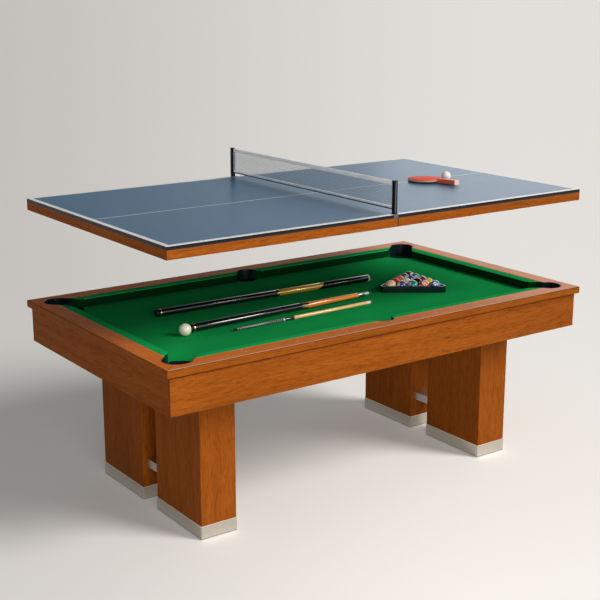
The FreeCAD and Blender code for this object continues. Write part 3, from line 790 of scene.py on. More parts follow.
def plan_ends(at, depth, ends):
    """Where both ends of a cushion lie at a depth."""
    return [plan_end(at, depth, wood, nose, inward)
            for wood, nose, inward in zip(ends["wood"], ends["nose"], (1, -1))]


def at_end_facing(vert, depth, ends):
    """Whether a vertex lies on one of a cushion's two end facings."""
    return min(abs(vert.co.x - end) for end in plan_ends(vert.co.y, depth, ends)) < WELD


def lengthwise(bm):
    """Edges that run the whole length of a cushion while it is still one long, square-ended bar."""
    return [e for e in bm.edges if abs(e.verts[0].co.x - e.verts[1].co.x) > 0.5]


# Shares of a cushion's depth at which its mesh is cut, closer towards the nose, and the step along it.
CUSHION_CUTS = (0.1, 0.22, 0.36, 0.5, 0.62, 0.72, 0.79, 0.84, 0.88, 0.915, 0.945, 0.968, 0.985)
CUSHION_STEP = 0.035
# Heights over the bed cloth above which a corner belongs to a cushion's top, and to its upper half.
CUSHION_CREST = 0.03
CUSHION_UPPER = 0.02


def cushion(node, material):
    """Cloth-covered cushion: crowned top, rounded nose and facings, closed underside."""
    matrix = cushion_side(node)
    depth, ends = cushion_ends(node, matrix)
    start = sizes().feather_width
    bm = bmesh.new()
    section = [bm.verts.new((0.0, y, z)) for y, z in cushion_section(depth, start)]
    face = bm.faces.new(section)
    bmesh.ops.translate(bm, vec=(1.0, 0.0, 0.0), verts=extruded(bm, [face]))
    bmesh.ops.recalc_face_normals(bm, faces=bm.faces)
    nose_edges = [e for e in lengthwise(bm) if e.verts[0].co.y > depth - LEVEL]
    bevel(bm, nose_edges, sizes().cushion_arris, 6)
    strip_edges = [e for e in lengthwise(bm) if all(abs(v.co.y - start) < WELD for v in e.verts)]
    bevel(bm, strip_edges, 0.001, 2)
    for share in CUSHION_CUTS:
        cut(bm, (0, depth * share, 0), (0, 1, 0))
    steps = max(8, round((ends["wood"][1] - ends["wood"][0]) / CUSHION_STEP))
    for step in range(1, steps):
        cut(bm, (step / steps, 0, 0), (1, 0, 0))
    for vert in bm.verts:
        low, high = plan_ends(vert.co.y, depth, ends)
        vert.co.x = low + (high - low) * vert.co.x
        if vert.co.z > CLOTH_TOP + CUSHION_CREST:
            swell = math.sin(math.pi * min(vert.co.y / depth, 1.0))
            settle = 0.7 + 0.3 * math.sin(vert.co.x * 9.0 + 1.3)
            vert.co.z += sizes().cushion_crown * swell * settle
    edges = [e for e in bm.edges if len(e.link_faces) == 2 and e.calc_face_angle(0.0) > math.radians(60)
             and min(abs(v.co.z) for v in e.verts) > CLOTH_TOP + CUSHION_UPPER]
    facing_edges = [e for e in edges if all(at_end_facing(v, depth, ends) for v in e.verts)]
    bevel(bm, facing_edges, sizes().cushion_arris * 0.4, 3)
    bmesh.ops.recalc_face_normals(bm, faces=bm.faces)
    bm.normal_update()
    # Painted shading: 1 where the cloth faces up, 0 on upright faces; the cloth's material paints the
    # upright faces darker and the top brighter by it.
    brushed = bm.verts.layers.float.new("brushed")
    for vert in bm.verts:
        vert[brushed] = max(0.0, min(1.0, (vert.normal.z - 0.25) / 0.6))
    bmesh.ops.transform(bm, matrix=matrix, verts=bm.verts)
    name = node.replace("cushion_", "cushion_cloth_")
    piece = finish_mesh(name, bm, material, "root", sharp=50)
    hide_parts(node)
    return matrix, depth, ends


def feather_strip(node, matrix, ends, material):
    """Thin red strip pressed into the groove between the rail and the cushion."""
    gap = 0.0002
    low, high = RAIL_TOP - 0.012, RAIL_TOP - 0.0001
    bm = bmesh.new()
    bmesh.ops.create_cube(bm, size=1.0)
    long_way = ends["wood"][1] - ends["wood"][0] - 0.001
    size = (long_way, sizes().feather_width - 2 * gap, high - low)
    middle = ((ends["wood"][0] + ends["wood"][1]) / 2, sizes().feather_width / 2, (low + high) / 2)
    bmesh.ops.transform(bm, matrix=matrix @ Matrix.LocRotScale(middle, None, size), verts=bm.verts)
    bevel(bm, [e for e in bm.edges if all(v.co.z > high - WELD for v in e.verts)], 0.0006, 2)
    finish_mesh(node.replace("cushion_", "feather_strip_"), bm, material, "root", sharp=60)


def build_cushions():
    """Six cushions, each with its feather strip and a plastic horn at both ends."""
    cloth = baize("cushion_cloth", colours().cloth, 0.0001)
    strip = smooth_finish("feather_strip", colours().arris, 0.42)
    plastic = smooth_finish("pocket_horn", (0.003, 0.016, 0.017, 1), 0.4, 0.7, Specular_IOR_Level=0.05)
    for node in family("cushion_"):
        matrix, depth, ends = cushion(node, cloth)
        feather_strip(node, matrix, ends, strip)
        for high_end in (False, True):
            pocket_cheek(node, matrix, depth, ends, high_end, plastic)


# ---- bed
def build_bed_cloth():
    """The playing cloth, rolled over the slab's edge at every pocket."""
    bm = merged_copy("bed_cloth")
    top = [e for e in bm.edges if all(v.co.z > CLOTH_TOP - WELD for v in e.verts)]
    bevel(bm, top, sizes().cloth_roll, 3)
    material = baize("bed_baize", colours().cloth)
    piece = finish_mesh("bed_cloth_sheet", bm, material, "root", sharp=60)
    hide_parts("bed_cloth")
    repaint(board_stuff("slab_board", (0.21, 0.16, 0.11, 1)), "bed_slab")


# ---- wood, pockets and metal that keep their frame meshes
def build_woodwork():
    """Veneers with their grain along each piece, and the plain timber underneath."""
    # Colours of painted light along edges: dark is painted shade; pale and the pinkish edge colour below
    # are painted highlights.
    dark = (0.055, 0.015, 0.005, 1)
    pale = (0.62, 0.27, 0.10, 1)
    painted_edge_highlight = (0.78, 0.55, 0.42, 1)
    # Painted light along the rails' outer top edges: a dark band with a paler painted highlight inside it
    # on the long rails, a painted shade line just below that edge, and a painted shade line along the end
    # rails' top edge.
    painted_edge_lines = [("y", HALF_WIDTH - 0.0085, HALF_WIDTH - 0.0001, dark, 0.75),
                  ("y", HALF_WIDTH - 0.0062, HALF_WIDTH - 0.0016, painted_edge_highlight, 0.85),
                  ("z", RAIL_TOP - 0.003, RAIL_TOP - 0.0007, dark, 0.5)]
    painted_end_lines = [("x", HALF_LENGTH - 0.0035, HALF_LENGTH - 0.0001, dark, 0.8)]
    rails = (("front", "x", (0.2, 0.0, 0.0), painted_edge_lines), ("back", "x", (1.4, 0.5, 0.3), painted_edge_lines),
             ("left", "y", (0.5, 0.8, 0.6), painted_end_lines), ("right", "y", (0.9, 2.1, 0.2), painted_end_lines))
    for side, along, shift, lines in rails:
        repaint(veneer(f"rail_veneer_{side}", along, shift, lines, 0.75, rail=True), f"rail_{side}")
    apron_x = span("apron_right", 0)[1]
    apron_y = span("apron_back", 1)[1]
    # Painted light at the aprons' corners: a painted highlight at the +X corner and painted shade at the -X
    # corner of the long aprons, and painted shade at the corners of the end aprons.
    painted_edge_lines = [("towards x", apron_x - 0.0035, apron_x, pale, 0.45),
                  ("towards x", -apron_x, -apron_x + 0.0035, dark, 0.75)]
    painted_end_lines = [("y", apron_y - 0.003, apron_y, dark, 0.75)]
    aprons = (("front", "x", (0.6, 0.2, 0.9), painted_edge_lines), ("back", "x", (2.2, 0.4, 1.5), painted_edge_lines),
              ("left", "y", (0.1, 0.7, 0.3), painted_end_lines), ("right", "y", (1.1, 1.7, 0.8), painted_end_lines))
    for side, along, shift, lines in aprons:
        top = span(f"apron_{side}", 2)[1]
        # A painted shadow along the apron's top, under the rail's overhang.
        painted_shadow_under_rail = ("z", top - 0.0065, top + 0.001, dark, 0.9)
        repaint(veneer(f"apron_veneer_{side}", along, shift, [*lines, painted_shadow_under_rail]), f"apron_{side}")
    legs = [node for node in family("leg_") if "plate" not in node and "bolt" not in node]
    for count, node in enumerate(legs):
        shift = (0.37 * count, 0.9 * count, 0.45 * count)
        repaint(veneer(node.replace("leg", "leg_veneer"), "z", shift, (), 0.8), node)
    for side in ("left", "right"):
        repaint(top_frame_finish(side), f"top_frame_{side}")
    plain = ((0.42, 0.27, 0.13, 1), (0.24, 0.13, 0.055, 1), (0.55, 0.38, 0.21, 1))
    repaint(timber("frame_timber", *plain), "frame_beams", "bed_cleats", "apron_corner_blocks")
    repaint(timber("cross_timber", *plain, along="y"), "frame_cross_members", *family("leg_plate_"))
    beech = ((0.55, 0.34, 0.17, 1), (0.36, 0.19, 0.08, 1), (0.66, 0.45, 0.26, 1))
    repaint(timber("dowel_beech", *beech), "top_dowels")


def nose_points(node, axis, line):
    """Distances along one axis at which a cushion's nose ends."""
    return [abs(v.co[axis]) for v in NODES[node].data.vertices if abs(abs(v.co[1 - axis]) - line) < LEVEL]


def pocket_mouth(corner):
    """Distance from a pocket's middle to the line between the cushions' noses, and half that line."""
    if corner:
        middle = CORNER_POCKET
        first = Vector((max(nose_points("cushion_back_right", 0, NOSE_Y)), NOSE_Y))
        second = Vector((NOSE_X, max(nose_points("cushion_right_end", 1, NOSE_X))))
    else:
        middle = Vector((0.0, SIDE_POCKET_Y))
        gap = min(nose_points("cushion_back_right", 0, NOSE_Y))
        first, second = Vector((gap, NOSE_Y)), Vector((-gap, NOSE_Y))
    return (middle.xy - (first + second) / 2).length, (first - second).length / 2


def pocket_shelf(node, material):
    """Moulded plastic on the cloth, from the pocket's lip to its mouth between the cushions."""
    low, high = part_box(node)
    middle = (low + high) / 2
    corner = abs(middle.x) > HALF_LENGTH / 2
    diagonal = (-math.copysign(1, middle.x), -math.copysign(1, middle.y))
    inwards = Vector(diagonal if corner else (0, -middle.y))
    hole = (CORNER_RADIUS if corner else SIDE_RADIUS) - 0.004
    chord = hole * 0.97
    mouth, half = pocket_mouth(corner)
    bm = bmesh.new()
    bmesh.ops.create_grid(bm, x_segments=8, y_segments=40, size=0.5)
    for vert in bm.verts:
        share, side = vert.co.x + 0.5, vert.co.y * 2
        width = chord + (half - sizes().cheek - chord) * share
        inner = math.sqrt(hole**2 - (side * chord) ** 2)
        outer = mouth + sizes().shelf_reach * (1.0 - 0.95 * side**2)
        thick = 0.0012 * (1 - abs(2 * share - 1) ** 4) + 0.0004 - 0.003 * max(0.0, 0.2 - share)
        vert.co = (inner + (outer - inner) * share, side * width, thick)
    for vert in extruded(bm, bm.faces):
        vert.co.z = 0.00005
    y = middle.y if corner else math.copysign(SIDE_POCKET_Y, middle.y)
    turn = Matrix.Rotation(math.atan2(inwards.y, inwards.x), 4, "Z")
    finish_mesh(node.replace("pocket_", "pocket_shelf_"), bm, material, "root", sharp=50,
                matrix=Matrix.Translation((middle.x, y, CLOTH_TOP)) @ turn)


def pocket_cheek(node, matrix, depth, ends, high_end, material):
    """Plastic horn on a cushion's end: full height at the rail, tapering to a point on its top."""
    inward = -1 if high_end else 1
    high = RAIL_TOP + 0.0002
    fall = high - CLOTH_TOP - 0.0006
    reach = depth * sizes().horn_share
    bm = bmesh.new()
    bmesh.ops.create_grid(bm, x_segments=16, y_segments=6, size=0.5)
    for vert in bm.verts:
        share = vert.co.x + 0.5
        y = 0.0003 + reach * share
        x = plan_ends(y, depth, ends)[high_end]
        height = high - fall * (0.5 - vert.co.y) * (1.0 - 0.93 * share**1.5)
        vert.co = (x - inward * 0.0004, y, height)
    for vert in extruded(bm, bm.faces):
        taper = min(1.0, 1.15 - vert.co.y / reach)
        vert.co.x -= inward * (0.0004 + sizes().cheek * taper)
    name = node.replace("cushion_", "pocket_horn_") + ("_b" if high_end else "_a")
    finish_mesh(name, bm, material, "root", sharp=40, matrix=matrix)


def build_fittings():
    """Pocket linings, steel shoes and stretchers, bolts, pads and rail sights."""
    liner = smooth_finish("pocket_liner", (0.003, 0.013, 0.014, 1), 0.25, 0.7, Coat_Weight=0.15,
                          Coat_Roughness=0.12)
    repaint(liner, *family("pocket_"))
    shelf = smooth_finish("pocket_shelf", (0.004, 0.02, 0.022, 1), 0.45, 0.7, Specular_IOR_Level=0.0)
    for node in family("pocket_"):
        pocket_shelf(node, shelf)
    nickel = (0.62, 0.58, 0.51, 1)
    # bright paints a highlight along the shoes' top rim and the stretchers' edges; shadow paints a shadow
    # where the shoes meet the floor.
    bright = (0.93, 0.91, 0.87, 1)
    shadow = (0.03, 0.026, 0.02, 1)
    shoe_low, shoe_high = span("shoe_front_left", 2)
    rims = [(shoe_high - 0.002, shoe_high + 0.01, bright), (0.0, shoe_low + 0.0012, shadow)]
    repaint(brushed_metal("shoe_steel", nickel, "y", rims), *family("shoe_"))
    low, high = span("stretcher_left", 2)
    rims = [(high - 0.0022, high - 0.0004, bright), (low, low + 0.0018, bright)]
    repaint(brushed_metal("stretcher_steel", (0.66, 0.63, 0.58, 1), "y", rims), *family("stretcher_"))
    zinc = smooth_finish("bolt_steel", (0.42, 0.42, 0.41, 1), 0.38, Metallic=1.0)
    repaint(zinc, "rail_bolts", "leg_bolts")
    rubber = smooth_finish("foot_rubber", (0.012, 0.012, 0.012, 1), 0.7, bump=0.0002)
    repaint(rubber, "foot_pads")
    pearl = smooth_finish("sight_pearl", (0.82, 0.78, 0.70, 1), 0.22, Coat_Weight=0.5)
    repaint(pearl, "rail_sights")
    chrome = smooth_finish("bracket_chrome", (0.17, 0.175, 0.18, 1), 0.3, Metallic=1.0)
    repaint(chrome, "net_brackets")


# ---- tennis top
def board_finish():
    """Slate-blue lacquer with white lines, over a black edge with a navy underside line."""
    look = Finish("board_lacquer", Specular_IOR_Level=0.22)
    x, y, z = separate(look.coords)
    x, y = abs(x), abs(y)
    marked = look.marks(0.3, 0.2)
    tone = scaled(colours().board, marked["Shade"])
    border = sizes().border
    lines = maths("MAXIMUM", band(x, TOP_HALF_LENGTH - border, TOP_HALF_LENGTH + 1),
                  band(y, TOP_HALF_WIDTH - border, TOP_HALF_WIDTH + 1))
    lines = maths("MAXIMUM", lines, band(y, -1.0, sizes().centre_line / 2))
    colour = mix(lines, tone, colours().line)
    side = remap(z, BOARD_TOP - 0.0006, BOARD_TOP - 0.0012)
    colour = mix(side, colour, (0.004, 0.004, 0.005, 1))
    navy = band(z, BOARD_BOTTOM - 0.01, BOARD_BOTTOM + 0.005, 0.0004)
    colour = mix(navy, colour, (0.006, 0.012, 0.022, 1))
    return look.surface(colour, marked["Roughness"], marked["Height"], 0.00001, 0.3)


def post_finish():
    """Black enamel with a bare grey channel down the outer face."""
    look = Finish("post_enamel", Specular_IOR_Level=0.1)
    marked = look.marks(0.25, 1.0)
    x, y, z = separate(look.coords)
    middle = sum(span("net_post_back", 0)) / 2
    outer = span("net_post_back", 1)[1]
    low, high = span("net_post_back", 2)
    channel = band(x, middle - 0.0026, middle + 0.0026, 0.0001)
    channel = channel * band(abs(y), outer - 0.003, outer - 0.0006, 0.0003)
    channel = channel * band(z, low + 0.004, high - 0.004)
    colour = mix(channel, (0.005, 0.006, 0.007, 1), (0.15, 0.16, 0.17, 1))
    return look.surface(colour, marked["Roughness"], marked["Height"], 0.00003, 0.4)


def build_tennis_top():
    """Finish of the boards and the net posts."""
    repaint(board_finish(), "top_board_left", "top_board_right")
    repaint(post_finish(), "net_post_front", "net_post_back")


# ---- net
def add_bar(bm, low, high, index=0):
    """Adds a bar between two corners and gives its faces a material."""
    low, high = Vector(low), Vector(high)
    place = Matrix.LocRotScale((low + high) / 2, None, high - low)
    made = bmesh.ops.create_cube(bm, size=1.0, matrix=place)
    for vert in made["verts"]:
        for face in vert.link_faces:
            face.material_index = index


def build_net():
    """Net of crossing threads, with a folded white tape on top and corded hem below."""
    low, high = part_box("net")
    middle = (low.x + high.x) / 2
    thread = sizes().net_thread / 2
    tape, hem, edging = sizes().tape_height, 0.0045, 0.004
    bm = bmesh.new()
    count = round((high.y - low.y) / sizes().net_pitch)
    for step in range(1, count):
        y = low.y + (high.y - low.y) * step / count
        x = middle + thread * 0.5 * (1 if step % 2 else -1)
        add_bar(bm, (x - thread, y - thread, low.z + 0.002), (x + thread, y + thread, high.z - 0.002))
    rows = round((high.z - low.z - tape) / sizes().net_pitch)
    for step in range(1, rows):
        z = low.z + (high.z - tape - low.z) * step / rows
        x = middle - thread * 0.4 * (1 if step % 2 else -1)
        add_bar(bm, (x - thread, low.y + 0.001, z - thread), (x + thread, high.y - 0.001, z + thread))
    white_tape, black_hem = 1, 2
    bands = [(low.y, high.y, high.z - tape, high.z, white_tape),
             (low.y, high.y, low.z + edging, low.z + edging + hem, white_tape),
             (low.y, low.y + hem, low.z, high.z, white_tape),
             (high.y - hem, high.y, low.z, high.z, white_tape),
             (low.y, high.y, low.z, low.z + edging, black_hem)]
    for y_low, y_high, z_low, z_high, index in bands:
        add_bar(bm, (low.x, y_low, z_low), (high.x, y_high, z_high), index)
    finishes = [smooth_finish("net_threads", (0.17, 0.23, 0.29, 1), 0.8, bump=0.0001),
                tape_finish("net_tape", WHITE, 1.0), tape_finish("net_hem", (0.006, 0.006, 0.007, 1))]
    net = finish_mesh("net_cloth", bm, finishes, "net", smooth=False)
    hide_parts("net")
    cord = net_cord("net_bottom_cord", low, high)


def tape_finish(name, colour, lets_light=0.0):
    """Woven cotton tape, thin enough to let some light through."""
    thread_count = 4200.0
    look = Finish(name, Sheen_Weight=0.1, Subsurface_Weight=lets_light, Subsurface_Scale=0.01,
                  Subsurface_Radius=(1.0, 1.0, 1.0))
    _, across, along = separate(look.coords)
    weave = maths("SINE", across * thread_count) * maths("SINE", along * thread_count)
    tone = scaled(colour, remap(weave, -1.0, 1.0, 0.9, 1.04))
    return look.surface(tone, remap(weave, -1.0, 1.0, 0.75, 0.9), weave, 0.0001)


def net_cord(name, low, high):
    """Cord sewn along the net's lower edge, tied off just short of the posts."""
    radius = sizes().cord_radius
    half = (high.y - low.y) / 2 - 0.002
    middle = (low + high) / 2
    place = Matrix.Translation((middle.x - radius * 0.4, middle.y, low.z + 0.0125))
    profile = rod_profile(-half, radius, half, radius, radius * 0.6)
    cotton = tape_finish("net_cord", WHITE, 1.0)
    across = Matrix.Rotation(math.pi / 2, 4, "Z")
    return turned_part(name, profile, place @ across, cotton, "net", 16)


# ---- balls
BALL_COLOURS = {
    1: (0.80, 0.46, 0.03), 2: (0.02, 0.06, 0.33), 3: (0.62, 0.022, 0.018), 4: (0.07, 0.03, 0.17),
    5: (0.78, 0.17, 0.02), 6: (0.01, 0.20, 0.10), 7: (0.20, 0.015, 0.015), 8: (0.008, 0.008, 0.009),
    9: (0.78, 0.47, 0.04), 10: (0.02, 0.12, 0.42), 11: (0.66, 0.06, 0.025), 12: (0.06, 0.05, 0.22),
    13: (0.76, 0.36, 0.05), 14: (0.01, 0.23, 0.22), 15: (0.27, 0.02, 0.02),
}
FIRST_STRIPED = 9
# The numbers row by row, from the rack's long side to its far corner.
RACK_ROWS = ((9, 12, 14, 11, 10), (3, 13, 8, 1), (5, 2, 15), (4, 6), (7,))


def ball_finish(number, middle, turn, radius):
    """Cast resin: one colour or a striped band, with two white spots for the numbers."""
    look = Finish(f"ball_resin_{number}", Coat_Weight=0.7, Coat_Roughness=0.04, Specular_IOR_Level=0.55)
    local = mapped(look.coords, middle, turn)
    _, y, z = separate(local)
    swirl = noise(local, 60.0, 3.0, 0.5, 1.5)
    colour = [min(1.0, part * 1.3) for part in BALL_COLOURS[number]]
    tone = scaled(colour, remap(swirl, 0.3, 0.7, 0.93, 1.06))
    off_axis = maths("SQRT", y * y + z * z)
    white = band(off_axis, -1.0, sizes().number_spot, 0.0001)
    if number >= FIRST_STRIPED:
        white = maths("MAXIMUM", white, remap(abs(z), radius * 0.555, radius * 0.565))
    colour = mix(white, tone, (0.97, 0.96, 0.9, 1))
    marked = look.marks(0.12, 0.6)
    return look.surface(colour, marked["Roughness"], marked["Height"], 0.00001, 0.3)


def number_mesh(number):
    """Flat mesh of a plain number, centred on the origin in the YZ plane and facing +X."""
    curve = bpy.data.curves.new(f"number_{number}", "FONT")
    curve.body = str(number)
    curve.size = 0.0115 if number < 10 else 0.0095
    curve.align_x = "CENTER"
    curve.align_y = "CENTER"
    text = new_object(f"number_{number}", curve)
    bpy.context.view_layer.update()
    mesh = bpy.data.meshes.new_from_object(text.evaluated_get(bpy.context.evaluated_depsgraph_get()))
    bpy.data.objects.remove(text)
    upright = Matrix(((0, 0, 1, 0), (1, 0, 0, 0), (0, 1, 0, 0), (0, 0, 0, 1)))
    mesh.transform(upright)
    return mesh


def inlay_number(bm, mesh, radius, flip):
    """Sinks a number into a ball's surface at +X, or at -X when flipped."""
    proud, sunk = 0.00004, 0.0003
    old = set(bm.faces)
    bm.from_mesh(mesh)
    faces = bmesh.ops.triangulate(bm, faces=[f for f in bm.faces if f not in old])["faces"]
    edges = list({e for f in faces for e in f.edges})
    bmesh.ops.subdivide_edges(bm, edges=edges, cuts=1, use_grid_fill=True)
    faces = [f for f in bm.faces if f not in old]
    outer = set(extruded(bm, faces))
    faces = [f for f in bm.faces if f not in old]
    corners = {v for f in faces for v in f.verts}
    for vert in corners:
        reach = radius + (proud if vert in outer else -sunk)
        vert.co.x = math.sqrt(reach**2 - vert.co.y**2 - vert.co.z**2)
    for face in faces:
        face.material_index = 1
    if flip:
        bmesh.ops.rotate(bm, cent=(0, 0, 0), matrix=Matrix.Rotation(math.pi, 3, "Z"), verts=list(corners))
    bmesh.ops.recalc_face_normals(bm, faces=faces)


def round_ball(radius, subdivisions):
    """Ball on the origin."""
    bm = bmesh.new()
    bmesh.ops.create_icosphere(bm, subdivisions=subdivisions, radius=radius)
    return bm


def single_ball(node, name, material):
    """Smooth ball in place of a node, on the body of the same name."""
    low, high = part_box(node)
    bm = round_ball((high.x - low.x) / 2, subdivisions=5)
    bmesh.ops.translate(bm, vec=(low + high) / 2, verts=bm.verts)
    piece = finish_mesh(name, bm, material, node)
    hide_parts(node)


def ball_places():
    """Middle of every racked ball, from the loose shells of the frame's node."""
    bm = bmesh.new()
    bm.from_mesh(NODES["object_balls"].data)
    bmesh.ops.remove_doubles(bm, verts=bm.verts, dist=WELD)
    left = set(bm.verts)
    middles = []
    while left:
        shell = [left.pop()]
        for vert in shell:
            for edge in vert.link_edges:
                other = edge.other_vert(vert)
                if other in left:
                    left.remove(other)
                    shell.append(other)
        corners = [Vector(f(v.co[i] for v in shell) for i in range(3)) for f in (min, max)]
        middles.append(sum(corners, Vector()) / 2)
    bm.free()
    return middles


def rack_order(middles):
    """Sorts the balls into rows, counted from the rack's long side nearest the front."""
    centre = sum(middles, Vector()) / len(middles)
    apex = max(middles, key=lambda m: m.y)
    inwards = (centre - apex).normalized()
    across = Vector((-inwards.y, inwards.x, 0.0))
    if across.x < 0:
        across = -across
    levels = sorted({round((m - apex).dot(inwards), 3) for m in middles}, reverse=True)
    rows = []
    for level in levels:
        row = [m for m in middles if abs((m - apex).dot(inwards) - level) < 0.002]
        rows.append(sorted(row, key=lambda m: m.dot(across)))
    return rows


def resting_turn(rng):
    """How a racked ball lies: its stripe tilted and a number towards the table's front left corner."""
    towards, aside = -Vector(INTO_THE_VIEW), Vector(TO_THE_RIGHT)
    facing = Matrix.Rotation(math.atan2(towards.y, towards.x) + rng.uniform(-0.8, 0.8), 4, "Z")
    lean = Matrix.Rotation(rng.uniform(-0.55, 0.55), 4, towards)
    nod = Matrix.Rotation(rng.uniform(-0.8, -0.2), 4, aside)
    return (nod @ lean @ facing).to_euler()


def build_balls():
    """Fifteen numbered balls in the rack and the cue ball."""
    rng = random.Random(sizes().seed)
    low, high = span("cue_ball", 0)
    radius = high / 2 - low / 2
    ink = smooth_finish("ball_ink", (0.01, 0.01, 0.011, 1), 0.25)
    placed = False
    for row, numbers in zip(rack_order(ball_places()), RACK_ROWS):
        for middle, number in zip(row, numbers):
            turn = resting_turn(rng)
            bm = round_ball(radius, subdivisions=4)
            digits = number_mesh(number)
            for flip in (False, True):
                inlay_number(bm, digits, radius, flip)
            place = Matrix.Translation(middle) @ turn.to_matrix().to_4x4()
            bmesh.ops.transform(bm, matrix=place, verts=bm.verts)
            resin = ball_finish(number, middle, turn, radius)
            piece = finish_mesh(f"ball_{number}", bm, [resin, ink], "root")
            if not placed:
                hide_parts("object_balls")
                placed = True
    ivory = smooth_finish("cue_ball_resin", (1.0, 0.95, 0.78, 1), 0.14, Coat_Weight=0.6,
                          Coat_Roughness=0.06)
    single_ball("cue_ball", "cue_ball_round", ivory)


def build_rack():
    """Finish of the rack's own mesh."""
    moulded = smooth_finish("rack_plastic", (0.002, 0.014, 0.015, 1), 0.3, 0.8, Coat_Weight=0.1,
                            Specular_IOR_Level=0.25)
    repaint(moulded, "rack")


# ---- cues
def cue_parts(node):
    """Matrix of a cue's axis, and its turned parts as (start, radius, end, radius)."""
    mesh = NODES[node].data
    points = [v.co.copy() for v in mesh.vertices]
    ends = []
    for edge in (min(p.x for p in points), max(p.x for p in points)):
        cap = [p for p in points if abs(p.x - edge) < 0.0012]
        low = Vector(min(p[i] for p in cap) for i in range(3))
        high = Vector(max(p[i] for p in cap) for i in range(3))
        ends.append((low + high) / 2)
    axis = (ends[1] - ends[0]).normalized()
    matrix = axis.to_track_quat("X", "Z").to_matrix().to_4x4()
    matrix.translation = ends[0]
    inverse = matrix.inverted()
    caps = {-1: {}, 1: {}}
    for face in mesh.polygons:
        corners = [inverse @ mesh.vertices[i].co for i in face.vertices]
        if max(p.x for p in corners) - min(p.x for p in corners) < LEVEL:
            facing = 1 if (inverse.to_3x3() @ face.normal).x > 0 else -1
            caps[facing][round(corners[0].x, 4)] = max(math.hypot(p.y, p.z) for p in corners)
    starts, stops = (sorted(caps[facing].items()) for facing in (-1, 1))
    return matrix, [(*first, *last) for first, last in zip(starts, stops)]


def splice_finish(name, butt, shaft, matrix, start, lean=0.0, points=0.0, wood_first=False, **constants):
    """Lacquer and wood that meet along the cue in a slanted or pointed splice."""
    look = Finish(name, Coat_Weight=0.8, Coat_Roughness=0.07, Specular_IOR_Level=0.5, **constants)
    local = mapped_by(look.coords, matrix)
    x, y, z = separate(local)
    edge = x - start + z * lean
    if points:
        teeth = abs(maths("SINE", maths("ARCTAN2", y, z) * 2.0))
        edge = edge - teeth * points
    past = remap(edge, -0.0004, 0.0004)
    wood = use_group("Veneer Grain", Vector=local, **shaft)["Color"]
    marked = look.marks(0.16, 0.7)
    colour = mix(past, wood, butt) if wood_first else mix(past, butt, wood)
    return look.surface(colour, marked["Roughness"], marked["Height"], 0.00002, 0.4)


def cue_lacquers():
    """Finishes that the cues share."""
    return {
        "rubber": smooth_finish("cue_bumper", (0.005, 0.005, 0.005, 1), 0.5, bump=0.0001,
                                Specular_IOR_Level=0.25),
        "brass": smooth_finish("cue_brass", (0.72, 0.48, 0.20, 1), 0.2, Metallic=1.0),
        "black": smooth_finish("cue_lacquer", BLACK_LACQUER, 0.14, 0.8, Coat_Weight=1.0,
                               Coat_Roughness=0.06),
        "white": smooth_finish("cue_ferrule", (0.80, 0.76, 0.66, 1), 0.3, Coat_Weight=0.3),
        "steel": smooth_finish("cue_collar", (0.55, 0.54, 0.52, 1), 0.22, Metallic=1.0),
        "leather": smooth_finish("cue_tip", (0.14, 0.085, 0.06, 1), 0.85, bump=0.0003),
    }


GILT = dict(Main=(1.0, 0.58, 0.1, 1), Dark=(0.85, 0.42, 0.06, 1), Light=(1.0, 0.72, 0.24, 1), Figure=0.4)
AMBER = dict(Main=(1.0, 0.29, 0.03, 1), Dark=(0.75, 0.17, 0.02, 1), Light=(1.0, 0.42, 0.08, 1), Figure=0.5)
MAPLE = dict(Main=(1.0, 0.58, 0.24, 1), Dark=(0.8, 0.4, 0.14, 1), Light=(1.0, 0.72, 0.4, 1), Figure=0.5)
PART_NAMES = ("bumper", "ring", "butt", "joint", "shaft", "ferrule", "tip")
# Each cue's slot, the finish of its parts from the butt on, and where and how its splice lies:
# the part it is in, the distance past that part's start, and the settings of its finish.
CUES = {
    "cue_black": (
        "cue_black_lacquer", ("rubber", "brass", "black", "brass", "splice", "splice", "white"), 5, 0.0,
        dict(name="cue_black_splice", butt=BLACK_LACQUER, shaft=GILT, lean=-1.4, wood_first=True,
             Metallic=0.5)),
    "cue_spliced": (
        "cue_spliced_wood", ("rubber", "brass", "black", "splice", "steel", "white", "leather"), 3, 0.004,
        dict(name="cue_spliced_splice", butt=BLACK_LACQUER, shaft=AMBER, points=0.05)),
    "cue_wrapped": (
        "cue_wrapped_wood", ("rubber", "black", "white", "black", "splice", "white", "leather"), 4, 0.006,
        dict(name="cue_wrapped_shaft", butt=(0.16, 0.05, 0.02, 1), shaft=MAPLE)),
}


def build_cues():
    """Three cues, each turned part on its own."""
    finishes = cue_lacquers()
    for node, (slot, plan, spliced, past, settings) in CUES.items():
        matrix, parts = cue_parts(node)
        finishes["splice"] = splice_finish(matrix=matrix, start=parts[spliced][0] + past, **settings)
        for label, (start, first, end, last), kind in zip(PART_NAMES, parts, plan):
            length = end - start
            if kind == "leather":
                profile = [(start, 0.0), (start, first), (start + 0.55 * length, first),
                           (end - 0.0018, last), (end - 0.0006, last * 0.7), (end, last * 0.3), (end, 0.0)]
            else:
                rim = min(0.0008, length * 0.2, first * 0.3, last * 0.3)
                profile = rod_profile(start, first, end, last, rim)
            piece = turned_part(f"{node}_{label}", profile, matrix, finishes[kind], node)
            if label == PART_NAMES[0]:
                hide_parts(node)
        if node == "cue_wrapped":
            handle_wrap(node, parts[1], matrix)


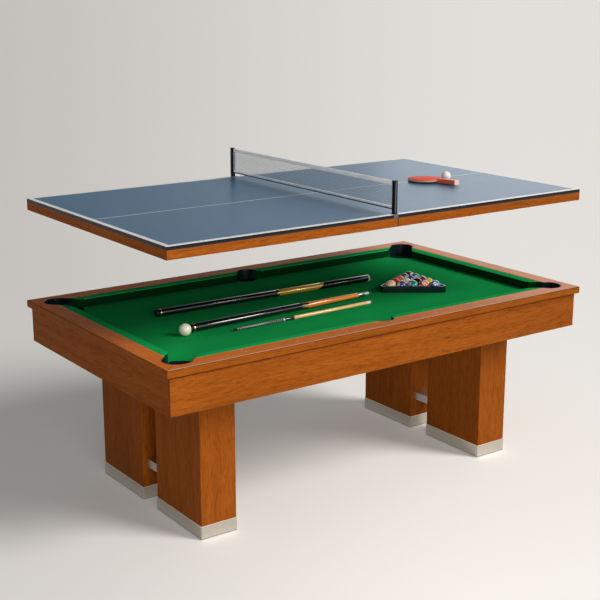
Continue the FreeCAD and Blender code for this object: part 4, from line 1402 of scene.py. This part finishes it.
def handle_wrap(node, part, matrix):
    """White cord wound in a spiral over the thin cue's black handle."""
    start, first, end, last = part
    turns, steps_per_turn = sizes().wrap_turns, 24
    width = (end - start) / (turns + 1) * 0.42
    margin, sunk, rise = 0.001, 0.0002, 0.0004
    bm = bmesh.new()
    corners = [(0.0, -sunk), (width, -sunk), (width * 0.8, rise), (width * 0.2, rise)]
    verts = [bm.verts.new((start + margin + along, first + out, 0.0)) for along, out in corners]
    face = bm.faces.new(verts)
    steps = turns * steps_per_turn
    advance = (end - start - width - 2 * margin) / steps
    bmesh.ops.spin(bm, geom=verts + list(face.edges) + [face], cent=(0, 0, 0), axis=(1, 0, 0),
                   dvec=(advance, 0, 0), angle=math.tau * turns, steps=steps, use_merge=False)
    for vert in bm.verts:
        share = (vert.co.x - start) / (end - start)
        radius = math.hypot(vert.co.y, vert.co.z)
        scale = (radius + (last - first) * share) / radius
        vert.co.y *= scale
        vert.co.z *= scale
    cotton = tape_finish("cue_wrap_cord", (0.42, 0.4, 0.39, 1))
    finish_mesh(f"{node}_wrap", bm, cotton, node, sharp=40, matrix=matrix)


# ---- paddle and tennis ball
def paddle_frame():
    """Matrix of the paddle blade: X across, Y towards the handle, Z out of the upper rubber."""
    mesh = NODES["paddle_blade"].data
    largest = max(mesh.polygons, key=lambda face: face.area * (face.normal.z > 0.9))
    up = largest.normal.copy()
    blade_low, blade_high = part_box("paddle_blade")
    grip_low, grip_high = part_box("paddle_handle")
    towards = (grip_low + grip_high) / 2 - (blade_low + blade_high) / 2
    y = (towards - up * towards.dot(up)).normalized()
    matrix = Matrix((y.cross(up), y, up)).transposed().to_4x4()
    heights = [(matrix.inverted() @ v.co).z for v in mesh.vertices]
    matrix.translation = matrix.to_3x3() @ Vector((0, 0, (min(heights) + max(heights)) / 2))
    return matrix


def paddle_layer(name, matrix, low, high, material, round_by):
    """One ply of the blade, cut out of the frame's node between two heights."""
    bm = bmesh.new()
    bm.from_mesh(NODES["paddle_blade"].data)
    bmesh.ops.transform(bm, matrix=matrix.inverted(), verts=bm.verts)
    bm.normal_update()
    just_inside = 0.0003
    other = [face for face in bm.faces
             if not low < (face.calc_center_median() - face.normal * just_inside).z < high]
    bmesh.ops.delete(bm, geom=other, context="FACES")
    join_flat(bm, 2 * WELD)
    rims = [e for e in bm.edges if len(e.link_faces) == 2 and e.calc_face_angle(0.0) > math.radians(70)
            and abs(e.verts[0].co.z - e.verts[1].co.z) < WELD]
    bevel(bm, rims, round_by, 2)
    return finish_mesh(name, bm, material, "paddle", sharp=40, matrix=matrix)


def rubber_finish(name, colour, matrix):
    """Sheet rubber with a faint grid of pips showing through."""
    look = Finish(name, Specular_IOR_Level=0.08)
    x, y, _ = separate(mapped_by(look.coords, matrix))
    pip_count = 3000.0
    pips = maths("SINE", x * pip_count) * maths("SINE", y * pip_count)
    marked = look.marks(0.5, 1.0)
    tone = scaled(colour, marked["Shade"])
    return look.surface(tone, marked["Roughness"], marked["Height"] + pips * 0.6, 0.00005)


def handle_finish(matrix):
    """Salmon lacquer on the handle with a pale cap at its end."""
    look = Finish("paddle_handle_lacquer", Coat_Weight=0.1, Coat_Roughness=0.15, Specular_IOR_Level=0.2)
    _, along, height = separate(mapped_by(look.coords, matrix))
    end = max((matrix.inverted() @ v.co).y for v in NODES["paddle_handle"].data.vertices)
    cap = remap(along, end - 0.0034, end - 0.003)
    core = band(abs(height), -1.0, 0.0032, 0.0003)
    colour = mix(core, (0.84, 0.13, 0.06, 1), (0.72, 0.16, 0.08, 1))
    colour = mix(cap, colour, (0.84, 0.58, 0.5, 1))
    marked = look.marks(0.3, 1.0)
    return look.surface(colour, marked["Roughness"], marked["Height"], 0.00004, 0.4)


def build_paddle():
    """Paddle in its plies, and the celluloid ball beside it."""
    matrix = paddle_frame()
    heights = [(matrix.inverted() @ v.co).z for v in NODES["paddle_blade"].data.vertices]
    top = max(heights)
    core = min(h for h in heights if h > 0.0005)
    red = rubber_finish("paddle_rubber_red", (0.86, 0.085, 0.045), matrix)
    black = rubber_finish("paddle_rubber_black", (0.01, 0.01, 0.011), matrix)
    ply = timber("paddle_ply", (0.70, 0.50, 0.30, 1), (0.48, 0.30, 0.15, 1), (0.78, 0.62, 0.42, 1))
    upper = paddle_layer("paddle_upper_rubber", matrix, core, top + 0.001, red, 0.0005)
    paddle_layer("paddle_ply_core", matrix, -core, core, ply, 0.0004)
    paddle_layer("paddle_lower_rubber", matrix, -top - 0.001, -core, black, 0.0005)
    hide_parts("paddle_blade")
    repaint(handle_finish(matrix), "paddle_handle")
    shell = smooth_finish("celluloid", (0.84, 0.83, 0.80, 1), 0.42, Subsurface_Weight=0.1)
    single_ball("tennis_ball", "tennis_ball_shell", shell)


# ---- floor, light and camera
def seen_rays(tree):
    """Whether a ray comes from the camera, and whether it shows the background at all."""
    path = outputs(tree.nodes.new("ShaderNodeLightPath"))
    camera = path["Is Camera Ray"]
    bounced = maths("MAXIMUM", path["Is Glossy Ray"], path["Is Transmission Ray"])
    return camera, maths("MAXIMUM", camera, bounced)


def floor_finish():
    """Pale warm floor, a little brighter towards the front right."""
    look = Finish("studio_floor", Roughness=0.9, Specular_IOR_Level=0.0, Emission_Strength=1.0)
    _, seen = seen_rays(look.material.node_tree)
    place = vector_maths("SUBTRACT", look.coords, stage_settings().camera_place)
    aside = vector_maths("DOT_PRODUCT", place, TO_THE_RIGHT)
    ahead = vector_maths("DOT_PRODUCT", place, INTO_THE_VIEW)
    slant = aside / maths("MAXIMUM", ahead, 1.0)
    gain = remap(slant, -0.32, 0.2, 0.8, 1.13) + remap(ahead, 9.0, 3.5) * 0.08
    bright = scaled(colours().floor_seen, gain)
    look.give("Base Color", mix(seen, colours().floor, scaled(bright, 0.82)))
    look.give("Emission Color", mix(seen, (0, 0, 0, 1), scaled(bright, 0.12)))
    return look.material


def build_floor():
    """A wide disc just under the feet."""
    bm = bmesh.new()
    bmesh.ops.create_circle(bm, cap_ends=True, segments=96, radius=400.0)
    bmesh.ops.translate(bm, vec=(0, 0, -0.0003), verts=bm.verts)
    mesh = bpy.data.meshes.new("studio_floor")
    bm.to_mesh(mesh)
    bm.free()
    mesh.materials.append(floor_finish())
    new_object("studio_floor", mesh)


def build_world():
    """Even room light, and a backdrop that is seen brighter towards the right."""
    setup = stage_settings()
    world = bpy.data.worlds.new("studio_world")
    world.use_nodes = True
    bpy.context.scene.world = world
    tree = world.node_tree
    camera, seen = seen_rays(tree)
    heading = outputs(tree.nodes.new("ShaderNodeTexCoord"))["Generated"]
    across = vector_maths("DOT_PRODUCT", heading, TO_THE_RIGHT)
    shown = remap(across, -0.3, 0.3, setup.backdrop * 0.2, setup.backdrop * 1.2)
    shown = maths("MAXIMUM", shown, camera * (setup.backdrop * 0.9))
    background = tree.nodes["Background"].inputs
    feed(background["Color"], (0.97, 0.985, 1.0, 1))
    feed(background["Strength"], setup.room_light + seen * (shown - setup.room_light))


def place_light(name, kind, energy, colour, place, turn):
    light = bpy.data.lights.new(name, kind)
    light.energy = energy
    light.color = colour
    lamp = new_object(name, light)
    lamp.location = place
    lamp.rotation_euler = turn
    return lamp


def build_lights():
    """Key light, a low fill in front, and a softbox behind that shows only as a sheen."""
    setup = stage_settings()
    turn = (math.pi / 2 - setup.sun_elevation, 0.0, setup.sun_azimuth)
    sun = place_light("key_light", "SUN", setup.sun_strength, (1.0, 0.97, 0.93), (0, 0, 4), turn)
    sun.data.angle = setup.sun_softness
    table = Vector((0.0, 0.0, RAIL_TOP))
    softboxes = (
        ("screen", setup.screen_power, (0.92, 0.97, 1.0), setup.screen_place, setup.screen_size, False),
        ("fill", setup.fill_power, (1.0, 0.98, 0.95), setup.fill_place, setup.fill_size, True),
    )
    for name, power, colour, place, size, spills in softboxes:
        turn = (table - Vector(place)).to_track_quat("-Z", "Y").to_euler()
        lamp = place_light(f"{name}_light", "AREA", power, colour, place, turn)
        lamp.data.size = size
        lamp.visible_diffuse = spills


def build_camera():
    setup = stage_settings()
    lens = bpy.data.cameras.new("table_camera")
    lens.lens = setup.lens
    lens.sensor_width = 36.0
    lens.clip_end = 1000.0
    camera = new_object("table_camera", lens)
    camera.location = setup.camera_place
    camera.rotation_euler = (math.pi / 2 - setup.camera_elevation, 0.0, -setup.camera_azimuth)
    bpy.context.scene.camera = camera
    bpy.context.scene.view_settings.view_transform = "Standard"


# ---- operators and panel
class POOLTABLE_OT_stage(bpy.types.Operator):
    """Floor, world, key light and camera"""

    bl_idname = "pool_table.stage"
    bl_label = "Stage"

    def execute(self, context):
        build_floor()
        build_world()
        build_lights()
        build_camera()
        return {"FINISHED"}


class POOLTABLE_OT_woodwork(bpy.types.Operator):
    """Veneer on the rails, aprons, legs and top frames, and the timber underneath"""

    bl_idname = "pool_table.woodwork"
    bl_label = "Woodwork"

    def execute(self, context):
        build_woodwork()
        return {"FINISHED"}


class POOLTABLE_OT_fittings(bpy.types.Operator):
    """Finish of the pocket linings, shoes, stretchers, bolts, pads and sights"""

    bl_idname = "pool_table.fittings"
    bl_label = "Fittings"

    def execute(self, context):
        build_fittings()
        return {"FINISHED"}


class POOLTABLE_OT_bed(bpy.types.Operator):
    """Playing cloth over the slab"""

    bl_idname = "pool_table.bed"
    bl_label = "Bed cloth"

    def execute(self, context):
        build_bed_cloth()
        return {"FINISHED"}


class POOLTABLE_OT_cushions(bpy.types.Operator):
    """Six cloth-covered cushions and their feather strips"""

    bl_idname = "pool_table.cushions"
    bl_label = "Cushions"

    def execute(self, context):
        build_cushions()
        return {"FINISHED"}


class POOLTABLE_OT_balls(bpy.types.Operator):
    """Numbered balls in their rack, and the cue ball"""

    bl_idname = "pool_table.balls"
    bl_label = "Balls and rack"

    def execute(self, context):
        build_rack()
        build_balls()
        return {"FINISHED"}


class POOLTABLE_OT_cues(bpy.types.Operator):
    """Three cues"""

    bl_idname = "pool_table.cues"
    bl_label = "Cues"

    def execute(self, context):
        build_cues()
        return {"FINISHED"}


class POOLTABLE_OT_tennis_top(bpy.types.Operator):
    """Finish of the tennis boards and the net posts"""

    bl_idname = "pool_table.tennis_top"
    bl_label = "Tennis top"

    def execute(self, context):
        build_tennis_top()
        return {"FINISHED"}


class POOLTABLE_OT_net(bpy.types.Operator):
    """Net with its tapes and cord"""

    bl_idname = "pool_table.net"
    bl_label = "Net"

    def execute(self, context):
        build_net()
        return {"FINISHED"}


class POOLTABLE_OT_paddle(bpy.types.Operator):
    """Paddle in its plies, and the tennis ball"""

    bl_idname = "pool_table.paddle"
    bl_label = "Paddle and ball"

    def execute(self, context):
        build_paddle()
        return {"FINISHED"}


STEPS = (
    POOLTABLE_OT_stage, POOLTABLE_OT_woodwork, POOLTABLE_OT_fittings, POOLTABLE_OT_bed,
    POOLTABLE_OT_cushions, POOLTABLE_OT_balls, POOLTABLE_OT_cues, POOLTABLE_OT_tennis_top,
    POOLTABLE_OT_net, POOLTABLE_OT_paddle,
)


class POOLTABLE_PT_panel(bpy.types.Panel):
    """Lists the table's sizes, colours and build steps"""

    bl_idname = "POOLTABLE_PT_panel"
    bl_label = "Pool Table"
    bl_space_type = "VIEW_3D"
    bl_region_type = "UI"
    bl_category = "Pool Table"

    def draw(self, context):
        for group in (sizes(), colours(), stage_settings()):
            box = self.layout.box()
            for key in group.bl_rna.properties.keys():
                if key not in ("rna_type", "name"):
                    box.prop(group, key)
        for step in STEPS:
            self.layout.operator(step.bl_idname)


SETTINGS = {
    "pool_table_sizes": PoolTableSizes,
    "pool_table_colours": PoolTableColours,
    "pool_table_stage": PoolTableStage,
}


def register():
    for each in (*SETTINGS.values(), *STEPS, POOLTABLE_PT_panel):
        bpy.utils.register_class(each)
    for name, group in SETTINGS.items():
        setattr(bpy.types.Scene, name, PointerProperty(type=group))


def unregister():
    for name in SETTINGS:
        delattr(bpy.types.Scene, name)
    for each in reversed((*SETTINGS.values(), *STEPS, POOLTABLE_PT_panel)):
        bpy.utils.unregister_class(each)


def main():
    register()
    for step in STEPS:
        group, name = step.bl_idname.split(".")
        getattr(getattr(bpy.ops, group), name)()


if __name__ == "__main__":
    main()
